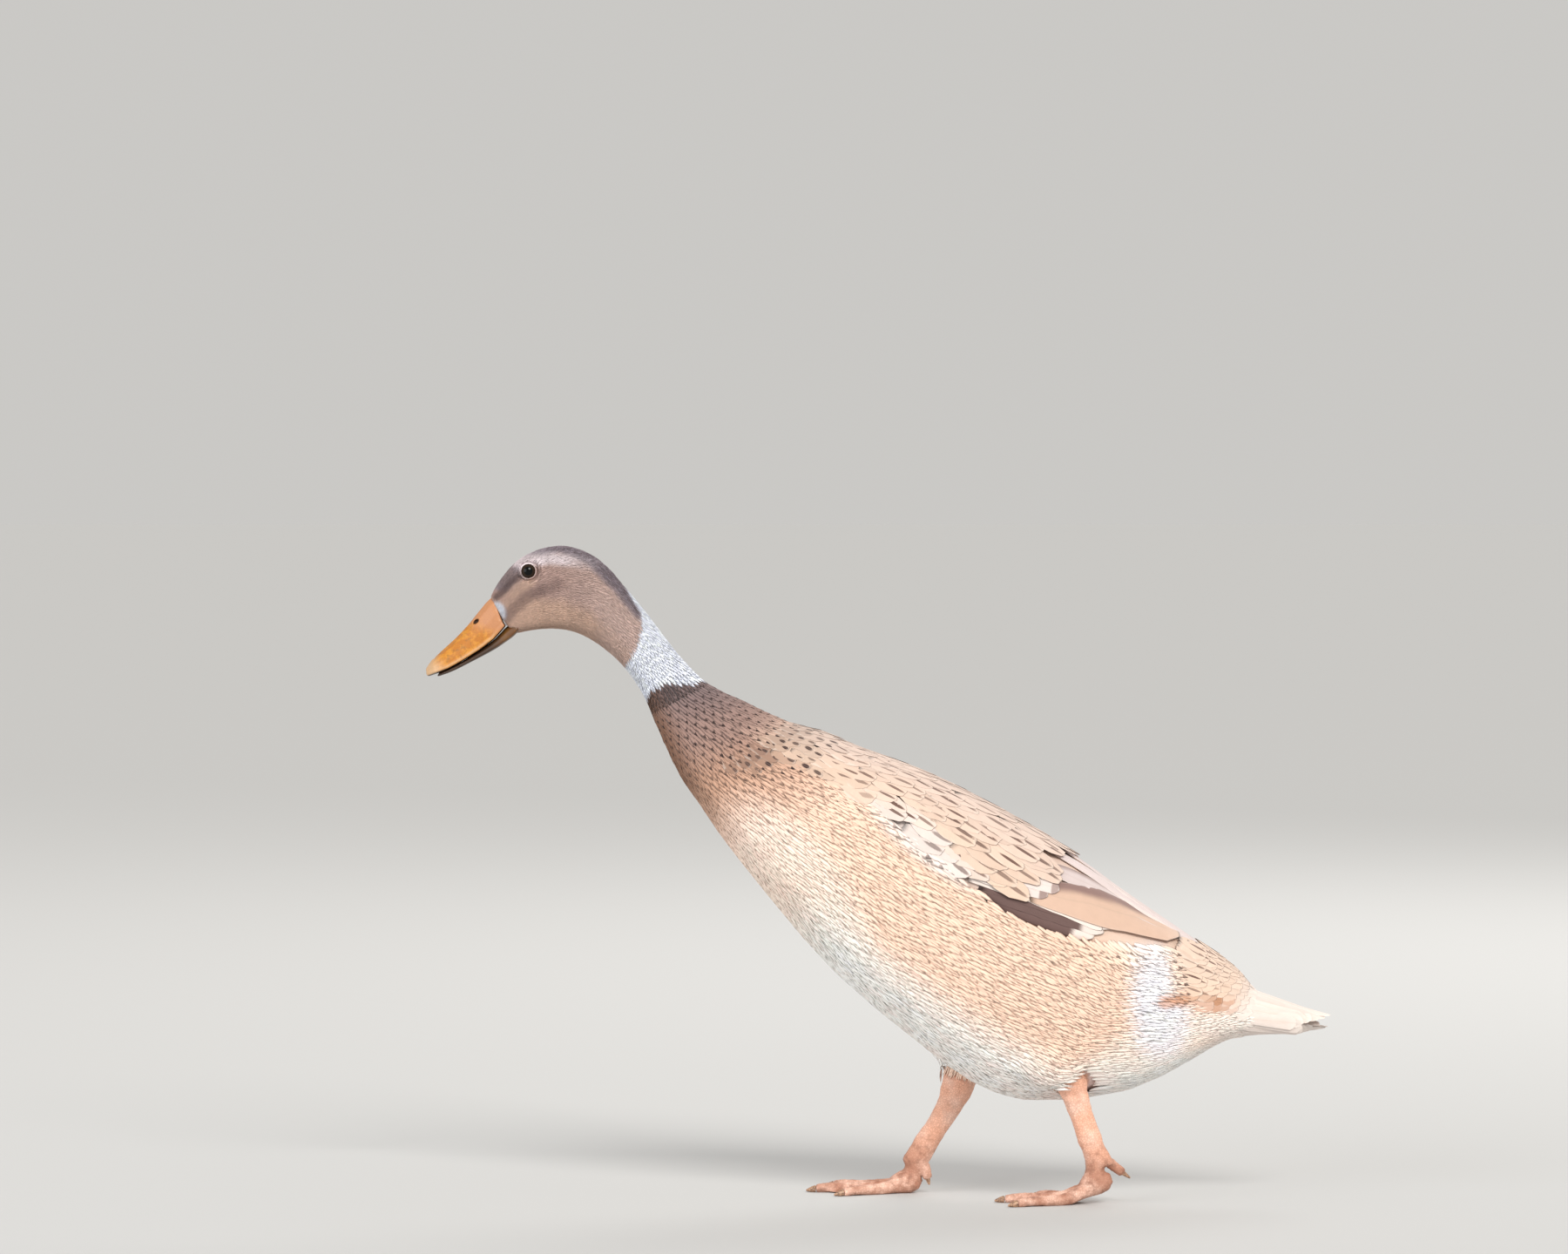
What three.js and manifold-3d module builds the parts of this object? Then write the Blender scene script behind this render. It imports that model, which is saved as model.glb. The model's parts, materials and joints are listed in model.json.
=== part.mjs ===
// Indian runner duck, life size, caught in mid stride with the neck stretched forward.
// Millimetres, +Z up, the bird faces -X and its left side is at -Y. The floor is z = 0, and the
// origin lies on it under the middle of the bird's bounding box.
import * as THREE from "three";
import { LoftGeometry } from "three/addons/geometries/LoftGeometry.js";
import { mergeVertices } from "three/addons/utils/BufferGeometryUtils.js";
import Module from "manifold-3d";

const wasm = await Module();
wasm.setup();

const partGap = 0.3; // between one named part and the next
const ringPoints = 24; // round the body
const ringsPerStation = 2;
const finest = 0.14; // details smaller than this are smoothed out of the faces
const eyeRadius = 5.6;
const eyePlace = { x: -225.3, y: 11.7, z: 404.6 };
const wingProud = 3.5; // how far the folded wing stands out from the flank
const wingSunk = 5; // and how deep it is let into the body
const backStrip = 7; // half the strip of back left bare between the wings
const wingCentre = [100, 215]; // the wing's outline grows away from this point, [x, z]
const outlinePoints = 34; // round the wing
const prismDeep = 90; // how far the wing's outline is pushed through the body's side
const billPoints = 14; // round the bill
const billSquare = 2.3;

// Stations from the bill to the tail. back and belly are [x, z] on the outline of the plumage in
// the bird's upright plane, half is the half width there, and square is 2 for a round section.
const stations = [
  { place: "bill root", back: [-251.4, 386.6], belly: [-235.5, 363.2], half: 10.5, square: 2.1 },
  { place: "lore", back: [-244.2, 399.3], belly: [-228.5, 365], half: 14.2, square: 2.3 },
  { place: "eye", back: [-229.5, 414.4], belly: [-218.5, 366.8], half: 17.6, square: 2.5 },
  { place: "crown", back: [-204, 421.8], belly: [-204, 366.8], half: 19.6, square: 2.4 },
  { place: "nape", back: [-181, 413.5], belly: [-190, 362.5], half: 18.4, square: 2.1 },
  { place: "neck top", back: [-164, 395.6], belly: [-175, 352.4], half: 17, square: 2 },
  { place: "collar top", back: [-148.4, 376.9], belly: [-164.4, 342.2], half: 16.3, square: 2 },
  { place: "collar foot", back: [-131, 353.9], belly: [-153.4, 326.7], half: 16.4, square: 2 },
  { place: "neck root", back: [-110.3, 332.3], belly: [-147, 312.6], half: 18.5, square: 2 },
  { place: "crop", back: [-89, 322], belly: [-139.2, 294.7], half: 23, square: 2 },
  { place: "shoulder", back: [-58.2, 307.6], belly: [-127, 269.6], half: 32.5, square: 2.05 },
  { place: "ruffle", back: [-37, 302.4], belly: [-116, 254.4], half: 39.5, square: 2.1 },
  { place: "mantle", back: [-19, 294.2], belly: [-105, 237.6], half: 46, square: 2.1 },
  { place: "breast", back: [26.6, 278], belly: [-72.5, 196], half: 56.5, square: 2.15 },
  { place: "keel", back: [78.7, 252.4], belly: [-28.8, 145.6], half: 62.5, square: 2.2 },
  { place: "loin", back: [129.1, 222.6], belly: [23.8, 101.4], half: 63.5, square: 2.2 },
  { place: "thighs", back: [152, 206], belly: [59.5, 75], half: 61.5, square: 2.1 },
  { place: "rump", back: [174, 187.2], belly: [93, 63.2], half: 57.5, square: 2.1 },
  { place: "vent", back: [210.3, 164.8], belly: [160, 69.5], half: 45, square: 2 },
  { place: "tail coverts", back: [233, 147.2], belly: [201, 89.5], half: 33, square: 1.9 },
  { place: "tail root", back: [244.5, 132.2], belly: [224.5, 102.8], half: 27.5, square: 1.8 },
  { place: "tail middle", back: [267.6, 122.1], belly: [260.5, 105.6], half: 23, square: 1.7 },
  { place: "tail tip", back: [291.6, 115.6], belly: [289.6, 107], half: 8, square: 1.7 },
];
const stationAt = (place) => stations.findIndex((s) => s.place === place);

// The bill: ridge and edge are [x, z] on the culmen and on the cutting edge.
const upperBill = [
  { ridge: [-251.7, 386.2], edge: [-240.7, 369.8], half: 10.4, keel: 0.9 },
  { ridge: [-257.4, 379.3], edge: [-248.1, 361.4], half: 10.1, keel: 0.9 },
  { ridge: [-264.5, 370.3], edge: [-257.2, 354.4], half: 10.3, keel: 0.9 },
  { ridge: [-272.2, 362], edge: [-267.5, 347.9], half: 11.2, keel: 0.9 },
  { ridge: [-280.6, 354.2], edge: [-277.1, 342.6], half: 12, keel: 0.9 },
  { ridge: [-287.8, 347], edge: [-285.2, 339.6], half: 10.6, keel: 0.9 },
  { ridge: [-291.6, 341.4], edge: [-290.4, 337.4], half: 5.6, keel: 0.5 },
];
const lowerBill = [
  { ridge: [-239.9, 368.6], edge: [-236.3, 363.3], half: 9.4, keel: 1.4 },
  { ridge: [-247.7, 360], edge: [-246, 356.6], half: 9.2, keel: 1.5 },
  { ridge: [-256.9, 353], edge: [-255.9, 350.4], half: 9.3, keel: 0.9 },
  { ridge: [-267.1, 346.4], edge: [-266.5, 344.6], half: 10, keel: 0.7 },
  { ridge: [-276.7, 341.1], edge: [-276.4, 339.8], half: 10.6, keel: 0.6 },
  { ridge: [-284.2, 338.2], edge: [-284, 337.2], half: 7.4, keel: 0.6 },
];

// The folded wing's outline on the bird's side, [x, z], from the top of the shoulder round.
const wingOutline = [
  [-12, 296], [30, 284], [80, 258], [129, 229], [174, 193], [204, 172], [222, 158], [214, 160.5],
  [176, 163], [146, 168], [118, 174.5], [86, 187.5], [60, 202.5], [34, 218], [10, 234], [-6, 252],
  [-16, 274],
];

// One leg each side. The left pushes off with its heel up, and the right is set flat in front.
const legs = {
  left: {
    side: -1,
    thigh: { at: [112, 37, 108], radii: [32, 19, 36], lean: 0.35 },
    knee: [116, 35, 104],
    hock: [123.6, 33, 74],
    ankle: [140.8, 32, 23],
    heelUp: 6.5,
    heading: 0.1,
    hindToe: { from: [147, 29.5, 26], to: [160.5, 28, 16] },
  },
  right: {
    side: 1,
    thigh: { at: [62, 37, 104], radii: [32, 19, 34], lean: -0.45 },
    knee: [59, 35, 98],
    hock: [48.8, 33, 62.5],
    ankle: [20.4, 32, 16.5],
    heelUp: 0,
    heading: -0.06,
    hindToe: { from: [30, 29, 17.5], to: [33, 28, 5.5] },
  },
};
// Radii of the bare leg, fore and aft by side to side, from inside the thigh down to the ankle.
const legRadii = [
  { at: 0, fore: 13, side: 9.5 },
  { at: 0.3, fore: 11, side: 8.6 },
  { at: 0.42, fore: 11, side: 8.8 },
  { at: 0.55, fore: 8.6, side: 6.2 },
  { at: 0.72, fore: 7.3, side: 5.3 },
  { at: 0.88, fore: 8.4, side: 6.4 },
  { at: 1, fore: 9.8, side: 7.8 },
];
// Toes fan out from the pad under the ankle. turn is positive towards the bird's middle.
const toes = [
  { name: "inner", turn: 0.5, long: 47 },
  { name: "middle", turn: 0, long: 60 },
  { name: "outer", turn: -0.46, long: 56 },
];
const toeThick = 4.9; // radius at the root
const toeTaper = 0.42; // how much of it is lost by the toe's end
const jointSwell = 1.6; // rise of the toe's joints off the floor
const footDown = 0.4; // share of the toe's length where a raised foot has come down
const padHigh = 8.6; // half the height of the pad under the ankle
const padLong = 11; // and half its length and width
const padWide = 8.4;
const toeFlat = 0.7; // how much of the toe's roundness is pressed flat on the floor
const clawLong = 6.5;
const webThick = 1.3;
const webPull = 0.24; // how deep the web's front edge curves in, of its length
const webFloor = 0.5; // the web's height over the floor
const webSpan = [0.05, 0.95]; // where the web begins and ends, of the toe's length

const v3 = (x, y, z) => new THREE.Vector3(x, y, z);
const signedPower = (x, p) => Math.sign(x) * Math.abs(x) ** p;

// A closed mesh as a solid. Repeated corners of a face are dropped, and a shape that came out
// inside out is turned round.
function solid(geometry) {
  const bare = new THREE.BufferGeometry();
  bare.setAttribute("position", geometry.attributes.position);
  bare.setIndex(geometry.index);
  const merged = mergeVertices(bare, 1e-3);
  const index = merged.index.array;
  const faces = [];
  for (let i = 0; i < index.length; i += 3) {
    const [a, b, c] = [index[i], index[i + 1], index[i + 2]];
    if (a !== b && b !== c && c !== a) faces.push([a, b, c]);
  }
  const make = (list) =>
    new wasm.Manifold(
      new wasm.Mesh({
        numProp: 3,
        vertProperties: merged.attributes.position.array,
        triVerts: new Uint32Array(list.flat()),
      }),
    );
  const made = make(faces);
  return made.volume() > 0 ? made : make(faces.map(([a, b, c]) => [a, c, b]));
}

// A ring of points about a line from low to high, with the given half width to each side.
function ring(low, high, half, square, points = ringPoints, split = 0.5) {
  const middle = low.clone().lerp(high, split);
  const up = high.clone().sub(middle);
  const down = middle.clone().sub(low);
  const across = v3(0, half, 0);
  return Array.from({ length: points }, (_, k) => {
    const angle = (k / points) * 2 * Math.PI;
    const rise = signedPower(Math.sin(angle), 2 / square);
    return middle
      .clone()
      .addScaledVector(across, signedPower(Math.cos(angle), 2 / square))
      .addScaledVector(rise > 0 ? up : down, rise);
  });
}

const backLine = new THREE.CatmullRomCurve3(stations.map((s) => v3(s.back[0], 0, s.back[1])));
const bellyLine = new THREE.CatmullRomCurve3(stations.map((s) => v3(s.belly[0], 0, s.belly[1])));
const girth = new THREE.CatmullRomCurve3(stations.map((s) => v3(s.half, s.square, 0)));
const along = (place, further = 0) => (stationAt(place) + further) / (stations.length - 1);

// The bird from one station to another, widened or sunk all round.
function bodyLoft({ wider = 0, inset = 0, from = "bill root", to = "tail tip" } = {}) {
  const count = (stationAt(to) - stationAt(from)) * ringsPerStation;
  const sections = Array.from({ length: count + 1 }, (_, i) => {
    const t = along(from, i / ringsPerStation);
    const back = backLine.getPoint(t);
    const belly = bellyLine.getPoint(t);
    const { x: half, y: square } = girth.getPoint(t);
    const up = back.clone().sub(belly).normalize();
    back.addScaledVector(up, -inset);
    belly.addScaledVector(up, inset);
    return ring(belly, back, half + wider - inset, square);
  });
  return new LoftGeometry(sections, { capStart: true, capEnd: true });
}

// A thin slab across the body at one station, which parts what lies before it from the rest.
function cutAcross(place, further = 0) {
  const back = backLine.getPoint(along(place, further));
  const belly = bellyLine.getPoint(along(place, further));
  const up = back.clone().sub(belly);
  const wholeWidth = 220;
  const slab = new THREE.BoxGeometry(partGap, wholeWidth, up.length() * 1.5);
  slab.rotateY(Math.atan2(up.x, up.z));
  const middle = back.add(belly).multiplyScalar(0.5);
  return solid(slab.translate(middle.x, 0, middle.z));
}

function billLoft(plan) {
  const ridges = new THREE.CatmullRomCurve3(plan.map((s) => v3(s.ridge[0], 0, s.ridge[1])));
  const edges = new THREE.CatmullRomCurve3(plan.map((s) => v3(s.edge[0], 0, s.edge[1])));
  const widths = new THREE.CatmullRomCurve3(plan.map((s) => v3(s.half, s.keel, 0)));
  const count = (plan.length - 1) * 2;
  const sections = Array.from({ length: count + 1 }, (_, i) => {
    const ridge = ridges.getPoint(i / count);
    const edge = edges.getPoint(i / count);
    const { x: half, y: keel } = widths.getPoint(i / count);
    const high = ridge.distanceTo(edge);
    const low = edge.clone().lerp(ridge, -keel / high);
    return ring(low, ridge, half, billSquare, billPoints, keel / (high + keel));
  });
  return new LoftGeometry(sections.reverse(), { capStart: true, capEnd: true });
}

// A limb of oval section along a path of points, with its radii interpolated by place.
function limb(points, radii, steps, grow = 0, count = 10) {
  const path = new THREE.CatmullRomCurve3(points, false, "centripetal");
  const sections = Array.from({ length: steps + 1 }, (_, i) => {
    const t = i / steps;
    const next = Math.max(1, radii.findIndex((r) => r.at >= t));
    const [a, b] = [radii[next - 1], radii[next]];
    const share = THREE.MathUtils.smoothstep(t, a.at, b.at);
    const fore = THREE.MathUtils.lerp(a.fore, b.fore, share) + grow;
    const side = THREE.MathUtils.lerp(a.side, b.side, share) + grow;
    const tangent = path.getTangent(t);
    const sideways = v3(0, 1, 0).addScaledVector(tangent, -tangent.y).normalize();
    const forward = tangent.clone().cross(sideways).normalize();
    return Array.from({ length: count }, (_, k) => {
      const angle = (k / count) * 2 * Math.PI;
      return path
        .getPoint(t)
        .addScaledVector(sideways, side * Math.cos(angle))
        .addScaledVector(forward, fore * Math.sin(angle));
    });
  });
  return new LoftGeometry(sections, { capStart: true, capEnd: true });
}

// Where a toe's middle line runs, at a share of its length: down from the raised pad, then flat.
function toeLine(leg, toe, share) {
  const turn = leg.heading + toe.turn;
  const reach = toe.long * share;
  const lift = leg.heelUp * (1 - THREE.MathUtils.smoothstep(share, 0, footDown));
  const radius = toeThick * (1 - toeTaper * share);
  const wave = jointSwell * Math.sin(share * Math.PI * 3) * Math.sin(share * Math.PI);
  return v3(
    leg.ankle[0] - 1 - reach * Math.cos(turn),
    leg.ankle[1] - reach * Math.sin(turn),
    radius - toeFlat + lift + Math.max(0, wave),
  );
}

// A toe with its claw, which is parted from it by a thin cut later.
function toeSolid(leg, toe) {
  const total = toe.long + clawLong;
  const points = [0, 0.2, 0.4, 0.6, 0.8, 1].map((share) => toeLine(leg, toe, share));
  const tip = toeLine(leg, toe, total / toe.long);
  points.push(v3(tip.x, tip.y, 1.1));
  const root = toe.long / total;
  return solid(
    limb(points, [
      { at: 0, fore: toeThick, side: toeThick },
      { at: root * 0.9, fore: toeThick * 0.62, side: toeThick * 0.66 },
      { at: root, fore: 2, side: 1.9 },
      { at: 1, fore: 0.7, side: 0.5 },
    ], 10, 0, 8),
  );
}

// The web between two toes, a thin sheet whose front edge curves in.
function webSolid(leg, first, second) {
  const across = 3;
  const lengthwise = 5;
  const sections = Array.from({ length: lengthwise + 1 }, (_, i) => {
    const share = THREE.MathUtils.lerp(...webSpan, i / lengthwise);
    const a = toeLine(leg, first, share);
    const b = toeLine(leg, second, share);
    const lift = leg.heelUp * (1 - THREE.MathUtils.smoothstep(share, 0, footDown));
    const top = Array.from({ length: across + 1 }, (_, k) => {
      const t = k / across;
      const p = a.clone().lerp(b, t);
      p.x += webPull * first.long * share ** 3 * 4 * t * (1 - t);
      p.z = lift + webFloor + webThick;
      return p;
    });
    const under = top.map((p) => v3(p.x, p.y, p.z - webThick)).reverse();
    return [...top, ...under];
  });
  return solid(new LoftGeometry(sections, { capStart: true, capEnd: true }));
}

// A slab across a line at a point, only as wide as given.
function slabAt(point, direction, wide) {
  const slab = new THREE.Mesh(new THREE.BoxGeometry(wide, wide, partGap));
  slab.position.copy(point);
  slab.lookAt(point.clone().add(direction));
  slab.updateMatrix();
  return solid(slab.geometry.clone().applyMatrix4(slab.matrix));
}

// One bare leg and webbed foot on the right-hand side, parted into leg, foot and four claws.
function legParts(leg) {
  const kneeToAnkle = [leg.knee, leg.hock, leg.ankle].map((p) => v3(...p));
  const shank = limb(kneeToAnkle, legRadii, 13);
  const ankle = v3(...leg.ankle);
  const pad = new THREE.SphereGeometry(1, 10, 8).scale(padLong, padWide, padHigh);
  pad.translate(ankle.x - 2.5, ankle.y, padHigh - toeFlat + leg.heelUp);
  const heel = v3(...leg.hindToe.from);
  const hindTip = v3(...leg.hindToe.to);
  const hindRoot = heel.clone().lerp(hindTip, -0.6);
  const hind = limb([hindRoot, heel, hindTip], [
    { at: 0, fore: 3.2, side: 3 },
    { at: 0.75, fore: 2.4, side: 2.2 },
    { at: 1, fore: 0.7, side: 0.6 },
  ], 6, 0, 6);
  let whole = solid(shank).add(solid(pad)).add(solid(hind));
  for (const toe of toes) whole = whole.add(toeSolid(leg, toe));
  whole = whole.add(webSolid(leg, toes[0], toes[1])).add(webSolid(leg, toes[1], toes[2]));
  const underFloor = solid(new THREE.BoxGeometry(400, 200, 40).translate(100, 40, -20));
  whole = whole.subtract(underFloor);

  const shin = ankle.clone().sub(v3(...leg.hock)).normalize();
  const cuts = [slabAt(ankle.clone().addScaledVector(shin, -3), shin, 32)];
  for (const toe of toes) {
    const root = toeLine(leg, toe, 1);
    const tip = toeLine(leg, toe, 1.05);
    cuts.push(slabAt(root, v3(tip.x - root.x, tip.y - root.y, 0), 9));
  }
  const hindWay = hindTip.clone().sub(heel);
  cuts.push(slabAt(heel.clone().addScaledVector(hindWay, 0.62), hindWay, 8));
  for (const cut of cuts) whole = whole.subtract(cut);

  // The largest piece is the shank and the next the foot. A claw is known by the toe it ends.
  const pieces = whole.decompose().sort((a, b) => b.volume() - a.volume());
  const named = { leg: pieces[0], foot: pieces[1] };
  const middleOf = (piece) => {
    const { min, max } = piece.boundingBox();
    return v3(...min).add(v3(...max)).multiplyScalar(0.5);
  };
  if (middleOf(named.leg).z < middleOf(named.foot).z) {
    [named.leg, named.foot] = [named.foot, named.leg];
  }
  const ends = toes.map((toe) => ({ name: toe.name, at: toeLine(leg, toe, 1.06) }));
  ends.push({ name: "hind", at: hindTip });
  for (const end of ends) {
    const near = pieces.slice(2).sort(
      (a, b) => middleOf(a).distanceTo(end.at) - middleOf(b).distanceTo(end.at),
    );
    named["claw_" + end.name] = near[0];
  }
  return named;
}

function thighSolid(thigh, grow = 0) {
  const [rx, ry, rz] = thigh.radii.map((r) => r + grow);
  const ball = new THREE.SphereGeometry(1, 12, 8).scale(rx, ry, rz).rotateY(thigh.lean);
  return solid(ball.translate(...thigh.at));
}

// The wing's outline pushed through the right-hand side of the body.
function wingPrism(grow = 0) {
  const edge = new THREE.SplineCurve(
    [...wingOutline, wingOutline[0]].map(([x, z]) => new THREE.Vector2(x, z)),
  );
  const shape = new THREE.Shape(edge.getPoints(outlinePoints).slice(0, -1));
  const centre = new THREE.Vector2(...wingCentre);
  const points = shape.getPoints().map((p) => {
    const out = p.clone().sub(centre);
    return p.clone().addScaledVector(out.normalize(), grow);
  });
  const prism = new THREE.ExtrudeGeometry(new THREE.Shape(points), {
    depth: prismDeep,
    bevelEnabled: false,
  });
  return solid(prism.rotateX(Math.PI / 2).translate(0, prismDeep + backStrip - grow, 0));
}

function eyeBall(grow = 0) {
  const ball = new THREE.SphereGeometry(eyeRadius + grow, 14, 9);
  return solid(ball.translate(eyePlace.x, eyePlace.y, eyePlace.z));
}

const mirrored = (piece) => piece.mirror([0, 1, 0]);
const bothSides = (piece) => piece.add(mirrored(piece));

const paints = {
  plumage: new THREE.MeshStandardMaterial({ color: 0xd9bfa0, roughness: 0.9, metalness: 0 }),
  hood: new THREE.MeshStandardMaterial({ color: 0xa08773, roughness: 0.9, metalness: 0 }),
  white: new THREE.MeshStandardMaterial({ color: 0xeeeeee, roughness: 0.9, metalness: 0 }),
  speckled: new THREE.MeshStandardMaterial({ color: 0xb79676, roughness: 0.9, metalness: 0 }),
  wing: new THREE.MeshStandardMaterial({ color: 0xd3b08a, roughness: 0.85, metalness: 0 }),
  horn: new THREE.MeshStandardMaterial({ color: 0xd99a3c, roughness: 0.45, metalness: 0 }),
  eye: new THREE.MeshStandardMaterial({ color: 0x0b0a0a, roughness: 0.08, metalness: 0 }),
  legSkin: new THREE.MeshStandardMaterial({ color: 0xd9825a, roughness: 0.6, metalness: 0 }),
  claw: new THREE.MeshStandardMaterial({ color: 0xc9a184, roughness: 0.5, metalness: 0 }),
};

const duck = new THREE.Group();
function addPart(name, piece, paint) {
  const data = piece.simplify(finest).getMesh();
  const geometry = new THREE.BufferGeometry();
  geometry.setAttribute("position", new THREE.BufferAttribute(data.vertProperties, 3));
  geometry.setIndex(new THREE.BufferAttribute(data.triVerts, 1));
  geometry.computeVertexNormals();
  const mesh = new THREE.Mesh(geometry, paint);
  mesh.name = name;
  duck.add(mesh);
}

// The body is made whole, and its six lengths are parted by thin cuts.
const lengths = [
  { name: "head", paint: paints.hood },
  { name: "neck_upper", paint: paints.hood },
  { name: "neck_collar", paint: paints.white },
  { name: "neck_lower", paint: paints.speckled },
  { name: "trunk", paint: paints.plumage },
  { name: "tail", paint: paints.plumage },
];
const cutPlaces = [
  cutAcross("nape", 0.5),
  cutAcross("collar top"),
  cutAcross("neck root"),
  cutAcross("shoulder", 0.5),
  cutAcross("tail root", -0.3),
];
const wingReach = { from: "crop", to: "tail root" };
const inside = solid(bodyLoft({ inset: wingSunk, ...wingReach }));
const insideLess = solid(bodyLoft({ inset: wingSunk + partGap, ...wingReach }));
const outside = solid(bodyLoft({ wider: wingProud, ...wingReach }));
const wingShell = outside.intersect(wingPrism()).subtract(inside);
const wingSeat = bothSides(wingPrism(partGap)).subtract(insideLess);
let body = solid(bodyLoft()).subtract(bothSides(eyeBall(partGap))).subtract(wingSeat);

for (const [sideName, leg] of Object.entries(legs)) {
  const put = (piece) => (leg.side < 0 ? mirrored(piece) : piece);
  const shankHole = solid(
    limb([leg.knee, leg.hock, leg.ankle].map((p) => v3(...p)), legRadii, 13, partGap),
  ).add(slabAt(v3(...leg.knee), v3(...leg.knee).sub(v3(...leg.hock)), 24));
  const thigh = thighSolid(leg.thigh).subtract(shankHole);
  body = body.subtract(put(thighSolid(leg.thigh, partGap))).subtract(put(shankHole));
  addPart("thigh_" + sideName, put(thigh), paints.plumage);
  for (const [name, piece] of Object.entries(legParts(leg))) {
    const paint = name.startsWith("claw") ? paints.claw : paints.legSkin;
    addPart(name + "_" + sideName, put(piece), paint);
  }
}
for (const cut of cutPlaces) body = body.subtract(cut);
const middleX = (piece) => piece.boundingBox().min[0] + piece.boundingBox().max[0];
body
  .decompose()
  .sort((a, b) => middleX(a) - middleX(b))
  .forEach((piece, i) => addPart(lengths[i].name, piece, lengths[i].paint));

addPart("wing_right", wingShell, paints.wing);
addPart("wing_left", mirrored(wingShell), paints.wing);
addPart("eye_right", eyeBall(), paints.eye);
addPart("eye_left", mirrored(eyeBall()), paints.eye);
addPart("bill_upper", solid(billLoft(upperBill)), paints.horn);
addPart("bill_lower", solid(billLoft(lowerBill)), paints.horn);

export default duck;
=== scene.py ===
import json
import math
from functools import partial
from types import SimpleNamespace

import bmesh
import bpy
import numpy as np
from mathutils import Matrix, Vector, noise
from mathutils.bvhtree import BVHTree

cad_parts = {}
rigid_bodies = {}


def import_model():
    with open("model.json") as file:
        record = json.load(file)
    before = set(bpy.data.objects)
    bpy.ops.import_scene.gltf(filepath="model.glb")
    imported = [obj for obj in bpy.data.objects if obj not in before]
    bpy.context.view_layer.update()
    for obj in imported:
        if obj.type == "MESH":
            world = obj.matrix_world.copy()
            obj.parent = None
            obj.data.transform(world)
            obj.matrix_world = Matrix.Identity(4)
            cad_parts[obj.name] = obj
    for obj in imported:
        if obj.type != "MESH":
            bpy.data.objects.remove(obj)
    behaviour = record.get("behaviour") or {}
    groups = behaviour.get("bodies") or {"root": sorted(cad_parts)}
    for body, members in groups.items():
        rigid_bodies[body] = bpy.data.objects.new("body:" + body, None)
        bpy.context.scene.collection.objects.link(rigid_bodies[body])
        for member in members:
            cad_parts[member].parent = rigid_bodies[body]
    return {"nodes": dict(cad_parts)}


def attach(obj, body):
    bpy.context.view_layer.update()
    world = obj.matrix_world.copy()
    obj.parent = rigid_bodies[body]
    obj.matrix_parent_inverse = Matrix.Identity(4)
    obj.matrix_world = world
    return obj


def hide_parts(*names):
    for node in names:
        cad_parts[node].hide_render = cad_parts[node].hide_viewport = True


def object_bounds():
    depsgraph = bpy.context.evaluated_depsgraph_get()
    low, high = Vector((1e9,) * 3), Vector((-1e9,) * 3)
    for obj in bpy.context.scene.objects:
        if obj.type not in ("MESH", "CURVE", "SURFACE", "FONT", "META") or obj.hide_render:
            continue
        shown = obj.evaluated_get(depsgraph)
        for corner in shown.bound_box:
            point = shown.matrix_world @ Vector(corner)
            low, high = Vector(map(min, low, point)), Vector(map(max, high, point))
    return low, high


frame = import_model()
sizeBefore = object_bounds()

mm = 0.001
rng = np.random.default_rng(7)

# Back and belly of the plumage at each station along the bird, [x, z] in mm, bill to tail
stations = {
    "billRoot": ((-251.4, 386.6), (-235.5, 363.2)),
    "lore": ((-244.2, 399.3), (-228.5, 365)),
    "eye": ((-229.5, 414.4), (-218.5, 366.8)),
    "crown": ((-204, 421.8), (-204, 366.8)),
    "nape": ((-181, 413.5), (-190, 362.5)),
    "neckTop": ((-164, 395.6), (-175, 352.4)),
    "collarTop": ((-148.4, 376.9), (-164.4, 342.2)),
    "collarFoot": ((-131, 353.9), (-153.4, 326.7)),
    "neckRoot": ((-110.3, 332.3), (-147, 312.6)),
    "crop": ((-89, 322), (-139.2, 294.7)),
    "shoulder": ((-58.2, 307.6), (-127, 269.6)),
    "mantle": ((-19, 294.2), (-105, 237.6)),
    "breast": ((26.6, 278), (-72.5, 196)),
    "keel": ((78.7, 252.4), (-28.8, 145.6)),
    "loin": ((129.1, 222.6), (23.8, 101.4)),
    "rump": ((174, 187.2), (93, 63.2)),
    "vent": ((210.3, 164.8), (160, 69.5)),
    "tailCoverts": ((233, 147.2), (201, 89.5)),
    "tailRoot": ((244.5, 132.2), (224.5, 102.8)),
    "tailMiddle": ((267.6, 122.1), (260.5, 105.6)),
    "tailTip": ((291.6, 115.6), (289.6, 107)),
}
placeNames = list(stations)
backs = np.array([stations[n][0] for n in placeNames], float)
bellies = np.array([stations[n][1] for n in placeNames], float)
middles = (backs + bellies) / 2
runs = np.concatenate([[0], np.cumsum(np.linalg.norm(np.diff(middles, axis=0), axis=1))])
runAt = dict(zip(placeNames, runs))
eye = {"place": (-225.3, 11.7, 404.6), "radius": 5.6, "opening": 4.5}
# The shank of each leg, and the heights under which feathers and skin tint leave it bare, mm
legAxes = {
    "left": {"knee": (116, -35, 104), "hock": (123.6, -33, 74), "bareUnder": 89, "tintUnder": 87},
    "right": {"knee": (59, 35, 98), "hock": (48.8, 33, 62.5), "bareUnder": 83, "tintUnder": 81},
}
shankTop = 61   # both legs are wholly bare below this height


def eyeCentre(side, outward=0):
    return Vector((eye["place"][0], side * (eye["place"][1] + outward), eye["place"][2])) * mm


def eyeAxis(side):
    return Vector((0.03, side, 0.06)).normalized()


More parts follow.
